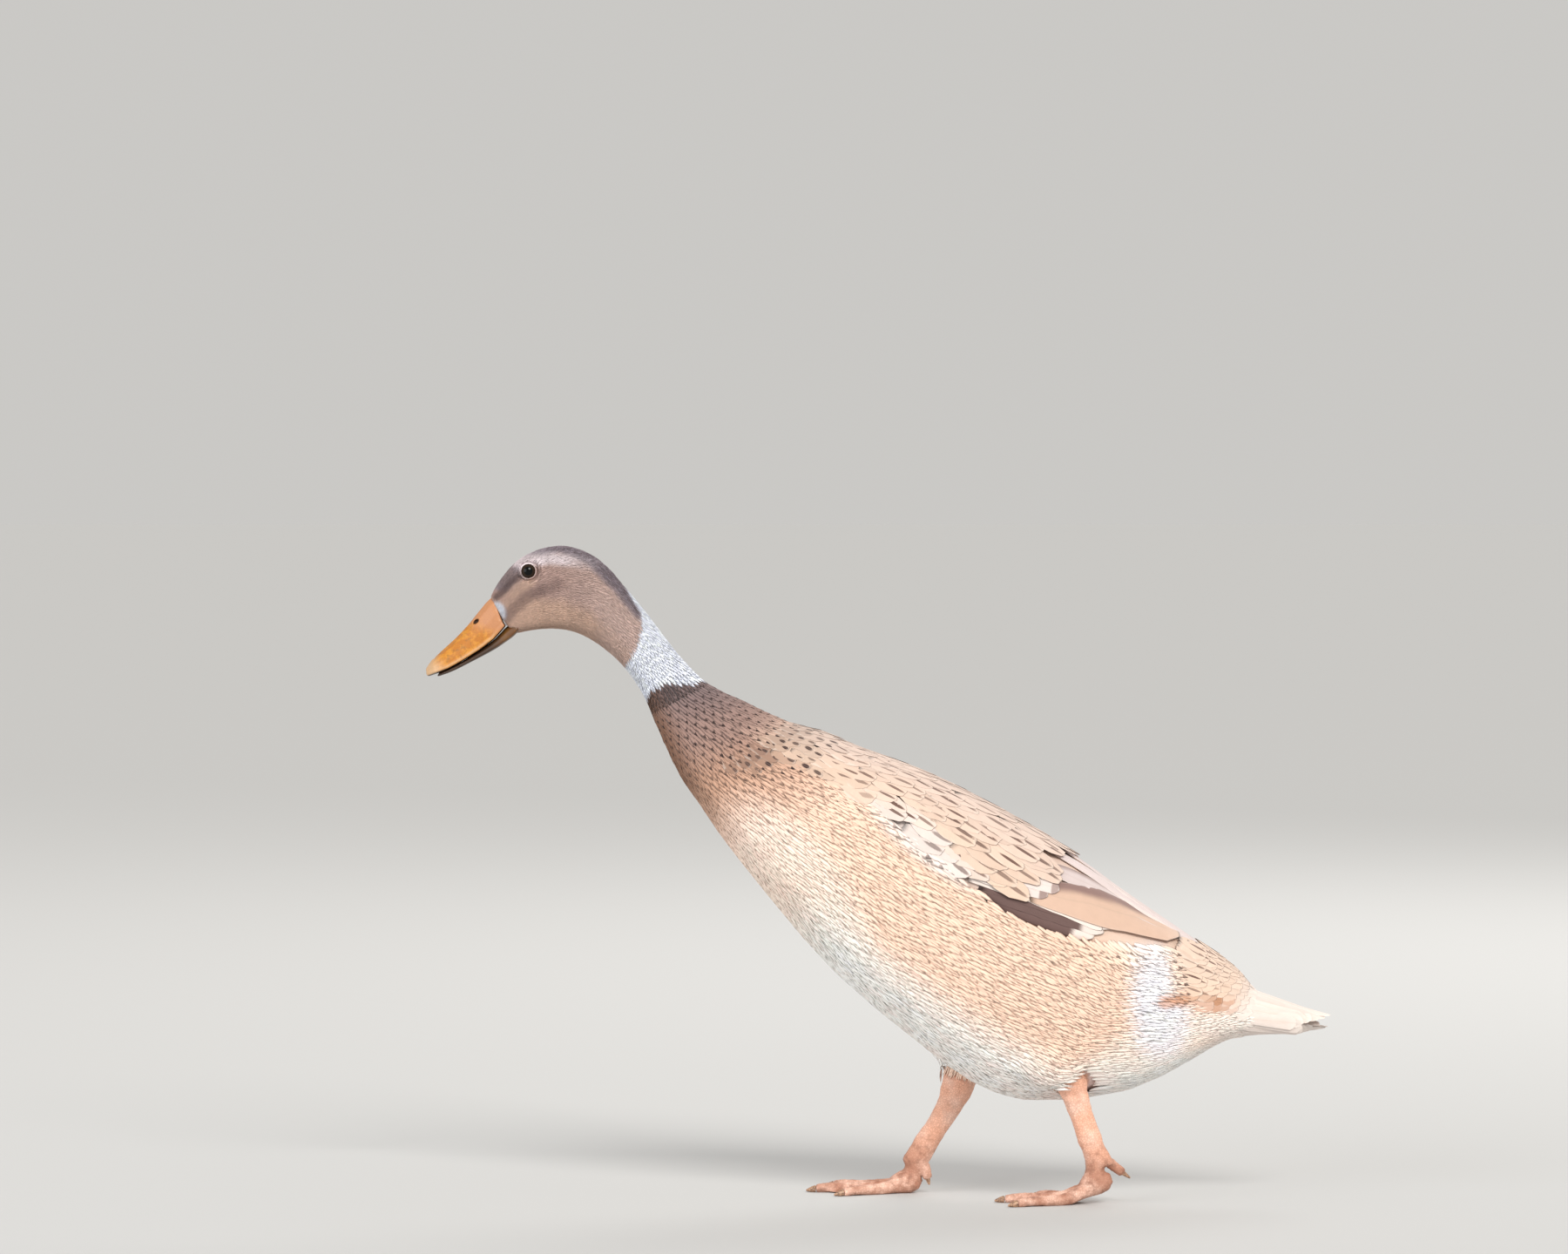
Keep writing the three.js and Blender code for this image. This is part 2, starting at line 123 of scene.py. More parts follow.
# Middle and upward direction of the bird's cross-section at a run in mm
def section(run):
    middle = np.array([np.interp(run, runs, middles[:, k]) for k in (0, 1)])
    up = np.array([np.interp(run, runs, (backs - bellies)[:, k]) for k in (0, 1)])
    return Vector((middle[0], 0, middle[1])) * mm, Vector((up[0], 0, up[1])).normalized()


def smooth(x, low, high):
    t = np.clip((x - low) / (high - low), 0, 1)
    return t * t * (3 - 2 * t)


def ridge(x, at, width):
    return np.exp(-((x - at) / width) ** 2)


def linear(r, g, b):
    c = np.array([r, g, b], float) / 255
    return np.where(c <= 0.04045, c / 12.92, ((c + 0.055) / 1.055) ** 2.4)


# Meshes
def readPoints(mesh, what="co"):
    values = np.empty(len(mesh.vertices) * 3, np.float32)
    mesh.vertices.foreach_get(what, values)
    return values.reshape(-1, 3)


def writePoints(mesh, points):
    mesh.vertices.foreach_set("co", np.ascontiguousarray(points, np.float32).ravel())
    mesh.update()


def addObject(name, mesh):
    made = bpy.data.objects.new(name, mesh)
    bpy.context.scene.collection.objects.link(made)
    return made


# The object's mesh with its modifiers applied, on a plain object of the same name
def baked(obj):
    graph = bpy.context.evaluated_depsgraph_get()
    mesh = bpy.data.meshes.new_from_object(obj.evaluated_get(graph), depsgraph=graph)
    name = obj.name
    bpy.data.objects.remove(obj)
    made = addObject(name, mesh)
    made.name = name
    return made


def joinedNodes(name, nodeNames):
    work = bmesh.new()
    for node in nodeNames:
        work.from_mesh(frame["nodes"][node].data)
    bmesh.ops.remove_doubles(work, verts=work.verts, dist=1e-6)
    mesh = bpy.data.meshes.new(name)
    work.to_mesh(mesh)
    work.free()
    return addObject(name, mesh)


def remeshed(obj, voxel, softening):
    remesh = obj.modifiers.new("remesh", "REMESH")
    remesh.mode = "VOXEL"
    remesh.voxel_size = voxel
    soften = obj.modifiers.new("soften", "SMOOTH")
    soften.factor = 0.5
    soften.iterations = softening
    return baked(obj)


def setAttribute(mesh, name, kind, values, domain="POINT"):
    field = {"FLOAT": "value", "INT": "value", "FLOAT_VECTOR": "vector", "FLOAT_COLOR": "color"}
    layer = mesh.attributes.get(name) or mesh.attributes.new(name, kind, domain)
    dtype = np.int32 if kind == "INT" else np.float32
    layer.data.foreach_set(field[kind], np.ascontiguousarray(values, dtype).ravel())


def withAlpha(colours):
    return np.concatenate([colours, np.ones((len(colours), 1))], axis=1)


def dress(obj, material):
    for face in obj.data.polygons:
        face.use_smooth = True
    obj.data.materials.clear()
    obj.data.materials.append(material)


# How far points are from the line through two places, within a part of its length, all mm
def fromAxis(points, start, end, low, high):
    a, b = np.array(start), np.array(end)
    t = np.clip(((points - a) @ (b - a)) / ((b - a) @ (b - a)), low, high)
    return np.linalg.norm(points - a - t[:, None] * (b - a), axis=1)


# Markings, shared by the skin and the coat


# Signed distance in mm to a line of points: positive to the left of its run
def besides(line, x, z):
    best = np.full(x.shape, 1e9)
    side = np.ones(x.shape)
    for (ax, az), (bx, bz) in zip(line[:-1], line[1:]):
        dx, dz = bx - ax, bz - az
        t = np.clip(((x - ax) * dx + (z - az) * dz) / (dx * dx + dz * dz), 0, 1)
        px, pz = x - ax - t * dx, z - az - t * dz
        distance = np.hypot(px, pz)
        nearer = distance < best
        best = np.where(nearer, distance, best)
        side = np.where(nearer, np.sign(dx * pz - dz * px), side)
    return best * side


# 1 on a stripe of that half width about a line of points, 0 off it
def along(line, x, z, width, soft=1.5):
    return 1 - smooth(np.abs(besides(line, x, z)), width - soft, width + soft)


# Distance from the middle of a turned oval, 1 on its outline
def ovalDistance(x, z, centre, radii, turn):
    c, s = math.cos(turn), math.sin(turn)
    dx, dz = x - centre[0], z - centre[1]
    return np.hypot((dx * c + dz * s) / radii[0], (dz * c - dx * s) / radii[1])


def blob(x, z, centre, radii, turn, soft):
    return 1 - smooth(ovalDistance(x, z, centre, radii, turn), 1 - soft, 1 + soft)


paint = {
    "cheek": linear(192, 160, 150),
    "lowCheek": linear(220, 184, 162),
    "hood": linear(224, 194, 184),
    "crown": linear(182, 172, 188),
    "forehead": linear(172, 150, 144),
    "brow": linear(226, 212, 216),
    "lore": linear(118, 90, 80),
    "white": linear(224, 226, 236),
    # white with a bluish tint of painted shade
    "collar": linear(236, 241, 255),
    "belly": linear(252, 230, 226),
    "neckBrown": linear(110, 93, 93),
    "buffBrown": linear(138, 112, 104),
    "buff": linear(172, 134, 112),
    "cream": linear(234, 214, 202),
    "peach": linear(226, 194, 174),
    "fawn": linear(220, 192, 172),
    "covert": linear(226, 212, 206),
    "rumpOrange": linear(182, 126, 90),
    # painted shade: darker orange-brown for the shadowed front of the lower neck
    "frontShadeBrown": linear(116, 80, 58),
    "underGrey": linear(190, 170, 160),
    "edgeBrown": linear(140, 112, 106),
    "spot": linear(64, 46, 44),
    "darkMark": linear(98, 70, 62),
    "greyMark": linear(132, 116, 112),
    "speculum": linear(106, 82, 78),
    "tertial": linear(208, 176, 156),
    "lilac": linear(212, 196, 194),
    "tailCream": linear(230, 216, 208),
    "crownMark": linear(92, 76, 80),
}
lines = {
    "hoodFoot": [(-172, 408), (-165.2, 394.7), (-160.2, 386.1), (-154.4, 377.5), (-153, 368.3),
                 (-155.2, 357.6), (-160.2, 347.6), (-170, 335)],
    "collarFoot": [(-90, 338), (-109.5, 332.6), (-120.7, 330.6), (-136.5, 332), (-146.5, 327.5),
                   (-149, 319), (-160, 306)],
    "brow": [(-231.5, 409.5), (-221.6, 411.8), (-210.1, 412.4), (-197, 411), (-184, 408)],
    "lore": [(-229.8, 401.8), (-235.8, 397.5), (-240.5, 392.3), (-245.5, 388)],
    "malar": [(-240.5, 374), (-232.3, 382.5), (-226.6, 388), (-218, 391.8), (-206, 396.5)],
    "crown": [(-243, 400), (-235, 411), (-226, 417.5), (-205, 424), (-183, 415), (-166, 398),
              (-152, 381)],
    "rumpLine": [(180, 130), (200, 132), (222, 128)],
    "rumpFoot": [(176, 196), (184, 150), (188, 132), (200, 126), (240, 118)],
    "foreneck": [(-153, 318), (-141, 294.7), (-129, 269.6), (-107, 237.6)],
    # Foot of the shoulder feathers and wing, where the flank feathers begin
    "wingFoot": [(-60, 285), (-14, 262), (7, 246), (53, 210), (66, 203), (121, 178), (139, 171),
                 (187, 163), (215, 158), (240, 150)],
    "upperFoot": [(-60, 284), (-14, 260.5), (7, 244.5), (53, 208.5), (62, 205), (66, 204),
                  (100, 213), (128, 224), (187, 186), (215, 164), (240, 150)],
    "flankTop": [(-60, 284), (-14, 260.5), (7, 244.5), (53, 208), (65, 201), (103, 183),
                 (112, 179), (139, 177), (187, 173), (215, 162), (240, 150)],
}
# Centre, radii, turn and softness of patches seen from the side, mm and radians
patches = {
    "jaw": ((-222, 379), (22, 9), -0.12, 0.6),
    "underEye": ((-229.5, 393.6), (10, 4.2), 0.5, 0.5),
    "forehead": ((-240, 402), (9, 9), 0, 0.5),
    "behindEye": ((-209, 399), (9, 6), 0, 0.6),
    "eyeRing": ((-225.3, 404.6), (5.8, 5.8), 0, 0.2),
    "billSide": ((-244.2, 378.6), (4.6, 6.4), 0.3, 0.35),
    "paleBreast": ((-50, 205), (60, 26), -0.9, 0.35),
    "coverts": ((31, 231), (40, 10), -0.66, 0.5),
    "covertMarks": ((31, 231), (38, 9), -0.66, 0.3),
    "behindLeg": ((176, 100), (50, 18), 0.42, 0.55),
    "whitePatch": ((177, 128), (17, 33), 0.12, 0.5),
    "tailSide": ((224, 113), (26, 7), -0.12, 0.4),
    "speckles": ((142, 164), (28, 8), -0.3, 0.5),
}


def lay(colours, name, share):
    colours += (paint[name] - colours) * np.clip(share, 0, 1)[:, None]


# Plumage colour, and how each feather is marked, at places in mm
def markings(x, z, run, around):
    n = len(x)

    def patch(name):
        return blob(x, z, *patches[name])

    # Head and hood
    head = np.tile(paint["cheek"], (n, 1))
    lay(head, "hood", smooth(run, runAt["eye"] + 6, runAt["neckTop"]))
    onHood = smooth(run, runAt["nape"], runAt["neckTop"])
    lay(head, "lowCheek", 0.9 * smooth(around, 100, 135) * (1 - 0.6 * onHood))
    lay(head, "lowCheek", 0.85 * patch("jaw"))
    lay(head, "lowCheek", 0.7 * patch("underEye"))
    onCrown = along(lines["crown"], x, z, 7.5, 2.5)
    lay(head, "crown", 0.9 * onCrown)
    lay(head, "forehead", 0.8 * patch("forehead"))
    loreLine = along(lines["lore"], x, z, 2.0, 1.4)
    lay(head, "lore", 0.8 * loreLine)
    malar = along(lines["malar"], x, z, 3.4, 2.4)
    lay(head, "lore", 0.5 * malar)
    lay(head, "cheek", 0.6 * patch("behindEye"))
    overEye = along(lines["brow"], x, z, 3.6, 2.4) * (1 - 0.7 * smooth(x, -204, -184))
    lay(head, "brow", overEye)
    lay(head, "brow", 0.35 * patch("eyeRing"))
    # The collar paint is white with a bluish tint of painted shade
    lay(head, "collar", patch("billSide"))
    hooded = smooth(besides(lines["hoodFoot"], x, z), -0.8, 0.8)
    lay(head, "collar", hooded)
    flecks = 0.3 + 0.65 * onCrown + 0.4 * loreLine + 0.2 * malar
    flecks = flecks * (1 - 0.85 * overEye) * (1 - hooded)

    # Below the white collar the flecked lower neck fades into the breast
    down = besides(lines["collarFoot"], x, z)
    neck = smooth(down, -0.8, 0.8) * (run > runAt["collarTop"])
    body = np.tile(paint["neckBrown"], (n, 1))
    # Band along the front of the lower neck, the mask of the painted shade laid below
    frontShade = along(lines["foreneck"], x, z, 12, 9)
    lay(body, "buffBrown", smooth(down, 3, 34))
    lay(body, "buff", smooth(down, 30, 70))
    lay(body, "cream", smooth(down + 0.1 * around, 92, 150))
    # Painted shade: the front of the lower neck, which lies in shadow, is painted a darker
    # orange-brown
    lay(body, "frontShadeBrown", 0.95 * frontShade * (1 - smooth(down, 40, 95)))
    lay(body, "peach", smooth(run, runAt["shoulder"], runAt["breast"]) * smooth(around, 30, 60))
    lay(body, "cream", 0.7 * patch("paleBreast"))
    wingSide = smooth(besides(lines["wingFoot"], x, z), -2, 3)
    upper = wingSide * smooth(run, runAt["shoulder"] - 14, runAt["mantle"])
    lay(body, "fawn", upper)
    lay(body, "lilac", 0.35 * upper * (1 - smooth(around, 20, 60)))
    lay(body, "covert", 0.95 * patch("coverts"))
    behindLeg, whitePatch = patch("behindLeg"), patch("whitePatch")
    lay(body, "belly", 0.5 * behindLeg)
    lay(body, "white", 0.9 * whitePatch)
    rump = smooth(x, 178, 190) * smooth(z, 126, 134)
    lay(body, "fawn", 0.75 * rump)
    lay(body, "rumpOrange", 0.85 * along(lines["rumpLine"], x, z, 3.2, 3))
    under = smooth(around, 118, 150)
    lay(body, "belly", under * smooth(run, runAt["breast"], runAt["keel"]))
    # Greyer blotches laid on the underside, from the breast back to the loin
    underBlotches = 0.5 + 0.5 * np.sin(x * 0.21 + 1.3 * np.sin(z * 0.13)) * np.sin(z * 0.31 + x * 0.07)
    lay(body, "underGrey", under * underBlotches * smooth(run, runAt["breast"], runAt["loin"]) * 0.2)
    lay(body, "tailCream", smooth(run, runAt["tailCoverts"] - 8, runAt["tailRoot"]))
    lay(body, "tailCream", 0.8 * patch("tailSide"))
    colour = head + (body - head) * neck[:, None]

    # How strong each kind of mark is, how wide, where on the feather it begins, and its paint
    rumpEnd = smooth(run, runAt["vent"] + 8, runAt["tailCoverts"] + 4)
    strokes = 0.85 * upper * (1 - smooth(x, 168, 185))
    faint = 0.06 * (1 - smooth(around, 90, 130)) * (1 - whitePatch) * (1 - behindLeg)
    kinds = (
        (1 - smooth(down + 0.5 * np.maximum(around - 60, 0), 60, 125), 0.3, 0.62, "spot"),
        (strokes, 0.2, 0.4, "darkMark"),
        (0.9 * patch("covertMarks"), 0.24, 0.45, "greyMark"),
        (0.7 * patch("speckles"), 0.3, 0.55, "darkMark"),
        (0.85 * rump * (1 - rumpEnd), 0.18, 0.32, "darkMark"),
        (faint, 0.3, 0.6, "greyMark"),
    )
    strengths, widths, begins, tints = zip(*kinds)
    strengths = np.stack(strengths)
    kind = np.argmax(strengths, axis=0)
    onBody = neck > 0.5
    mark = np.where(onBody, strengths.max(axis=0), flecks)
    wide = np.where(onBody, np.array(widths)[kind], 0.85)
    begin = np.where(onBody, np.array(begins)[kind], 0.3)
    bodyTint = np.array([paint[name] for name in tints])[kind]
    markColour = np.where(onBody[:, None], bodyTint, paint["crownMark"])
    return colour, mark, wide, begin, markColour


# Skin
print("skin")
skinPlan = {
    "flesh": ["head", "neck_upper", "neck_collar", "neck_lower", "trunk", "tail",
              "thigh_left", "thigh_right", "wing_left", "wing_right"],
    "limbs": ["leg_left", "foot_left", "leg_right", "foot_right"],
    "filling": ["eye_left", "eye_right", "leg_left", "leg_right"],
    "shankDepth": 2.2,
    "shankUnder": 60,
    "bodyVoxel": 2.4 * mm,
    "limbVoxel": 0.95 * mm,
    "eyeRound": {"outward": 4, "radius": 11 * mm, "cuts": 5},
    # How deep the skin lies under the outline of the plumage, place by place, mm
    "depth": {"billRoot": 0.6, "lore": 1.1, "eye": 1.3, "neckTop": 1.6, "neckRoot": 2.2,
              "shoulder": 3.2, "breast": 3.8, "rump": 3.8, "tailCoverts": 2.6, "tailRoot": 1.8,
              "tailTip": 1.2},
    # The tail's own flesh is short and thin; its feathers carry the shape on
    "tail": {"from": 252, "long": 38, "short": 0.85, "thin": 0.8},
    # How fine the leg's scales and folds are, and how high, mm
    "scales": (620, 0.22),
    "folds": ((90, 90, 240), 0.28),
    # Heel and tip of each plump hind toe; each ankle, and where its heel begins
    "hindToes": (((147, -29.5, 26), (157, -28.4, 18.5)), ((30, 29, 17.5), (32, 28.4, 9))),
    "toeSwell": 1.1,
    "ankles": (((139.5, -32, 26), 145), ((22, 32, 19), 27)),
    "ankleRounds": 90,
}
# The lids' rim and the fold behind it: height, half width and distance from the opening, mm
lids = {"rim": (0.22, 0.45, 0.4), "fold": (-0.12, 0.55, 1.9), "from": 1.2, "to": 8.6, "over": 0.2,
        "hollow": 1.4}


def depthAt(run):
    plan = skinPlan["depth"]
    return np.interp(run, [runAt[k] for k in plan], list(plan.values()))


# How finely the bird's own axis is sampled, and how many points are placed at once
placeSamples = 400
placeChunk = 4000


# Distance along the bird in mm, and angle from its back in degrees, of points in metres
def bodyPlace(points):
    flat = points[:, [0, 2]] / mm
    fine = np.linspace(0, runs[-1], placeSamples)
    line, ups = (np.stack([np.interp(fine, runs, ends[:, k]) for k in (0, 1)], 1)
                 for ends in (middles, backs - bellies))
    ups /= np.linalg.norm(ups, axis=1)[:, None]
    alongs = np.stack([-ups[:, 1], ups[:, 0]], 1)
    run = np.empty(len(points))
    around = np.empty(len(points))
    for start in range(0, len(points), placeChunk):
        part = slice(start, start + placeChunk)
        apart = flat[part, None, :] - line[None]
        off = np.abs((apart * alongs[None]).sum(2))
        far = np.linalg.norm(apart, axis=2)
        pick = np.argmin(off + 0.35 * far, axis=1)
        height = (apart[np.arange(len(pick)), pick] * ups[pick]).sum(1)
        run[part] = fine[pick]
        around[part] = np.degrees(np.arctan2(np.abs(points[part, 1]) / mm, height))
    return run, around


def refineRound(obj, centre, radius, cuts):
    work = bmesh.new()
    work.from_mesh(obj.data)
    near = [f for f in work.faces if (f.calc_center_median() - centre).length < radius]
    edges = list({e for f in near for e in f.edges})
    bmesh.ops.subdivide_edges(work, edges=edges, cuts=cuts, use_grid_fill=True)
    bmesh.ops.triangulate(work, faces=[f for f in work.faces if len(f.verts) > 4])
    work.to_mesh(obj.data)
    work.free()


# The skin closes round the eyeball as two lids, with a fold behind them
def shapeLids(points, side):
    centre = np.array([eye["place"][0], side * eye["place"][1], eye["place"][2]]) * mm
    axis = np.array(eyeAxis(side))
    apart = points - centre
    out = apart @ axis
    flat = apart - out[:, None] * axis
    r = np.linalg.norm(flat, axis=1) / mm
    near = (r < 9) & (out > -3 * mm)
    ball, opening = eye["radius"], eye["opening"]
    wanted = np.sqrt(np.clip((ball + lids["over"]) ** 2 - r ** 2, 0, None))
    for name in ("rim", "fold"):
        high, half, off = lids[name]
        wanted += high * ridge(r - opening, off, half)
    share = 1 - smooth(r, opening + lids["from"], lids["to"])
    inside = r < opening
    hollow = np.sqrt(np.clip((ball - lids["hollow"]) ** 2 - r ** 2, 0, None)) * 0.6
    wanted = np.where(inside, hollow, wanted)
    share = np.where(inside, 1, share)
    level = out / mm + (wanted - out / mm) * share
    points[near] = (centre + flat + (level * mm)[:, None] * axis)[near]


# The eyes and the tops of the legs fill their own sockets in the flesh
body = remeshed(joinedNodes("bodyWork", [*skinPlan["flesh"], *skinPlan["filling"]]),
                skinPlan["bodyVoxel"], 12)
for side in (-1, 1):
    finer = skinPlan["eyeRound"]
    refineRound(body, eyeCentre(side, finer["outward"]), finer["radius"], finer["cuts"])
bodyPoints = readPoints(body.data)
bodyRun, _ = bodyPlace(bodyPoints)
onShank = bodyPoints[:, 2] < skinPlan["shankUnder"] * mm
bodyDepth = np.where(onShank, skinPlan["shankDepth"], depthAt(bodyRun))
bodyPoints = bodyPoints - readPoints(body.data, "normal") * (bodyDepth * mm)[:, None]
for side in (-1, 1):
    shapeLids(bodyPoints, side)
tail = skinPlan["tail"]
beyond = np.clip((bodyPoints[:, 0] / mm - tail["from"]) / tail["long"], 0, 1)
bodyPoints[:, 0] -= (1 - tail["short"]) * beyond * tail["long"] * mm
bodyPoints[:, 1] *= 1 - (1 - tail["thin"]) * beyond
tailAxis = np.interp(bodyPoints[:, 0] / mm, middles[-4:, 0], middles[-4:, 1]) * mm
bodyPoints[:, 2] += (tailAxis - bodyPoints[:, 2]) * (1 - tail["thin"]) * beyond
writePoints(body.data, bodyPoints)

limbs = remeshed(joinedNodes("limbWork", skinPlan["limbs"]), skinPlan["limbVoxel"], 3)
limbPoints = readPoints(limbs.data)
limbNormals = readPoints(limbs.data, "normal")
swell = np.empty(len(limbPoints))
scaleFine, scaleHigh = skinPlan["scales"]
foldFine, foldHigh = skinPlan["folds"]
for i, p in enumerate(limbPoints):
    near = noise.voronoi(Vector(p) * scaleFine)[0]
    fold = noise.noise(Vector([c * fine for c, fine in zip(p, foldFine)]))
    swell[i] = scaleHigh * min(1, (near[1] - near[0]) * 2.6) + foldHigh * fold
swell *= smooth(limbPoints[:, 2] / mm, 0.4, 2.5)
for heel, tip in skinPlan["hindToes"]:
    far = fromAxis(limbPoints / mm, heel, tip, 0.2, 0.9)
    swell += skinPlan["toeSwell"] * (1 - smooth(far, 3.2, 4.6))
# The shank runs into the foot with no step
links = np.empty(len(limbs.data.edges) * 2, np.int32)
limbs.data.edges.foreach_get("vertices", links)
links = links.reshape(-1, 2)
shares = np.zeros(len(limbPoints))
for ankle, heelFrom in skinPlan["ankles"]:
    far = np.linalg.norm(limbPoints / mm - np.array(ankle), axis=1)
    beforeHeel = 1 - smooth(limbPoints[:, 0] / mm, heelFrom - 2, heelFrom + 2)
    shares = np.maximum(shares, 0.8 * (1 - smooth(far, 9, 19)) * beforeHeel)
links = links[(shares[links] > 0).any(axis=1)]
degree = np.maximum(np.bincount(links.ravel(), minlength=len(limbPoints)), 1)
for _ in range(skinPlan["ankleRounds"]):
    for k in range(3):
        sums = np.bincount(links[:, 0], limbPoints[links[:, 1], k], len(limbPoints))
        sums += np.bincount(links[:, 1], limbPoints[links[:, 0], k], len(limbPoints))
        limbPoints[:, k] += np.where(shares > 0, (sums / degree - limbPoints[:, k]) * shares, 0)
limbPoints = limbPoints + limbNormals * (swell * mm)[:, None]
limbPoints[:, 2] = np.maximum(limbPoints[:, 2], 0)
writePoints(limbs.data, limbPoints)

union = body.modifiers.new("union", "BOOLEAN")
union.operation = "UNION"
union.solver = "MANIFOLD"
union.object = limbs
body.name = "skin"
skin = baked(body)
bpy.data.objects.remove(limbs)
skinPoints = readPoints(skin.data)
skinPoints[:, 2] = np.maximum(skinPoints[:, 2], 0)
writePoints(skin.data, skinPoints)
print("skin faces", len(skin.data.polygons))

skinRun, skinAround = bodyPlace(skinPoints)
skinColour = markings(skinPoints[:, 0] / mm, skinPoints[:, 2] / mm, skinRun, skinAround)[0]
bareLeg = skinPoints[:, 2] / mm < shankTop
for leg in legAxes.values():
    far = fromAxis(skinPoints / mm, leg["knee"], leg["hock"], 0, 1.6)
    bareLeg |= (far < 11.5) & (skinPoints[:, 2] / mm < leg["tintUnder"])
setAttribute(skin.data, "tint", "FLOAT_COLOR", withAlpha(skinColour))
setAttribute(skin.data, "bare", "FLOAT", bareLeg.astype(float))


# A new node with its properties set; each input takes a link or a plain value
def addNode(tree, kind, inputs, **properties):
    node = tree.nodes.new(kind)
    for name, value in properties.items():
        setattr(node, name, value)
    for key, value in inputs.items():
        if isinstance(value, bpy.types.NodeSocket):
            tree.links.new(value, node.inputs[key])
        else:
            node.inputs[key].default_value = value
    return node.outputs


# A material and the short-hands its nodes are drawn with
def shaderNodes(name, roughness):
    material = bpy.data.materials.new(name)
    material.use_nodes = True
    tree = material.node_tree
    shader = tree.nodes["Principled BSDF"]
    shader.inputs["Roughness"].default_value = roughness
    node = partial(addNode, tree)

    def attribute(label, output="Color"):
        return node("ShaderNodeAttribute", {}, attribute_name=label)[output]

    def maths(operation, *values):
        return node("ShaderNodeMath", dict(enumerate(values)), operation=operation)[0]

    def mixed(share, a, b, kind="MIX"):
        a, b = (c if isinstance(c, bpy.types.NodeSocket) else (*map(float, c), 1) for c in (a, b))
        return node("ShaderNodeMix", {0: share, 6: a, 7: b}, data_type="RGBA", blend_type=kind)[2]

    def split(value):
        return node("ShaderNodeSeparateXYZ", {0: value})

    def joinXyz(*values):
        return node("ShaderNodeCombineXYZ", dict(enumerate(values)))[0]

    def shaded(colour, shade):
        return mixed(1.0, colour, joinXyz(shade, shade, shade), "MULTIPLY")

    def noisy(vector, scale, detail=2.0, rough=0.5):
        inputs = {"Vector": vector, "Scale": scale, "Detail": detail, "Roughness": rough}
        return node("ShaderNodeTexNoise", inputs)["Fac"]

    def ramp(value, low, high):
        inputs = {"Value": value, "From Min": low, "From Max": high}
        return node("ShaderNodeMapRange", inputs, interpolation_type="SMOOTHSTEP")["Result"]

    def bump(height, strength, distance):
        inputs = {"Strength": strength, "Distance": distance, "Height": height}
        tree.links.new(node("ShaderNodeBump", inputs)["Normal"], shader.inputs["Normal"])

    def coloured(colour):
        tree.links.new(colour, shader.inputs["Base Color"])

    add, sub, mul = (partial(maths, kind) for kind in ("ADD", "SUBTRACT", "MULTIPLY"))
    coordinates = tree.nodes.new("ShaderNodeTexCoord").outputs["Object"]
    return material, SimpleNamespace(
        node=node, shader=shader, attribute=attribute, maths=maths, mixed=mixed, split=split,
        joinXyz=joinXyz, shaded=shaded, noisy=noisy, ramp=ramp, bump=bump, coloured=coloured,
        add=add, sub=sub, mul=mul, coordinates=coordinates)


# Bill
print("bill")
bill = {
    "axisFrom": (-246, 378.2),
    "axisTo": (-291.5, 339.2),
    "nostril": (-259.1, 372.1),
    "nostrilRadii": (2.3, 1.25),
    "nostrilDeep": 2.2,
    "nailFrom": 50,
    "nailHigh": 0.25,
    # Ridges and grooves: height in mm, place, half width
    "lip": (0.3, 1.3, 0.22),
    "nailGroove": (-0.2, 50, 0.7),
    "rim": (0.18, 0.9, 0.8),
    "rimGroove": (-0.15, 2.6, 0.7),
    # Cutting edge of the upper bill, x, z
    "edge": [(-236, 374), (-240.7, 369.8), (-248.1, 361.4), (-257.2, 354.4), (-267.5, 347.9),
             (-277.1, 342.6), (-285.2, 339.6), (-291, 337.4)],
    "root": {"bill_upper": (0.4, 3.2), "bill_lower": (2.8, 7.0)},   # from where, how deep
    "voxel": 0.5 * mm,
    "closed": 1.5,   # how far the lower bill's upper face rises into the upper bill
}
billWay = np.array(bill["axisTo"]) - np.array(bill["axisFrom"])
billWay /= np.linalg.norm(billWay)


# How far each point is along the bill, above its axis and to the side, mm
def billPlace(points):
    flat = points[:, [0, 2]] / mm - np.array(bill["axisFrom"])
    return flat @ billWay, flat @ np.array([billWay[1], -billWay[0]]), points[:, 1] / mm


def billMaterial():
    material, t = shaderNodes("billHorn", 0.42)
    nearRoot, nearNail, billShade = t.split(t.attribute("zones", "Vector"))
    mottle = t.noisy(t.coordinates, 260, 3.0, 0.6)
    fine = t.noisy(t.coordinates, 1100, 3.0)
    stain = t.mul(t.ramp(t.noisy(t.coordinates, 420), 0.53, 0.7), 0.55)
    colour = t.mixed(t.ramp(mottle, 0.38, 0.6), linear(198, 132, 44), linear(178, 110, 34))
    # The near-black last layer is painted shade: nostril pits, the gape and most of the lower bill
    for share, tint in ((stain, (140, 98, 46)), (nearRoot, (184, 128, 90)),
                        (nearNail, (204, 166, 126)), (billShade, (52, 34, 22))):
        colour = t.mixed(share, colour, linear(*tint))
    t.coloured(t.shaded(colour, t.add(0.9, t.mul(fine, 0.2))))
    t.bump(t.add(fine, mottle), 0.25, 0.0002)
    return material
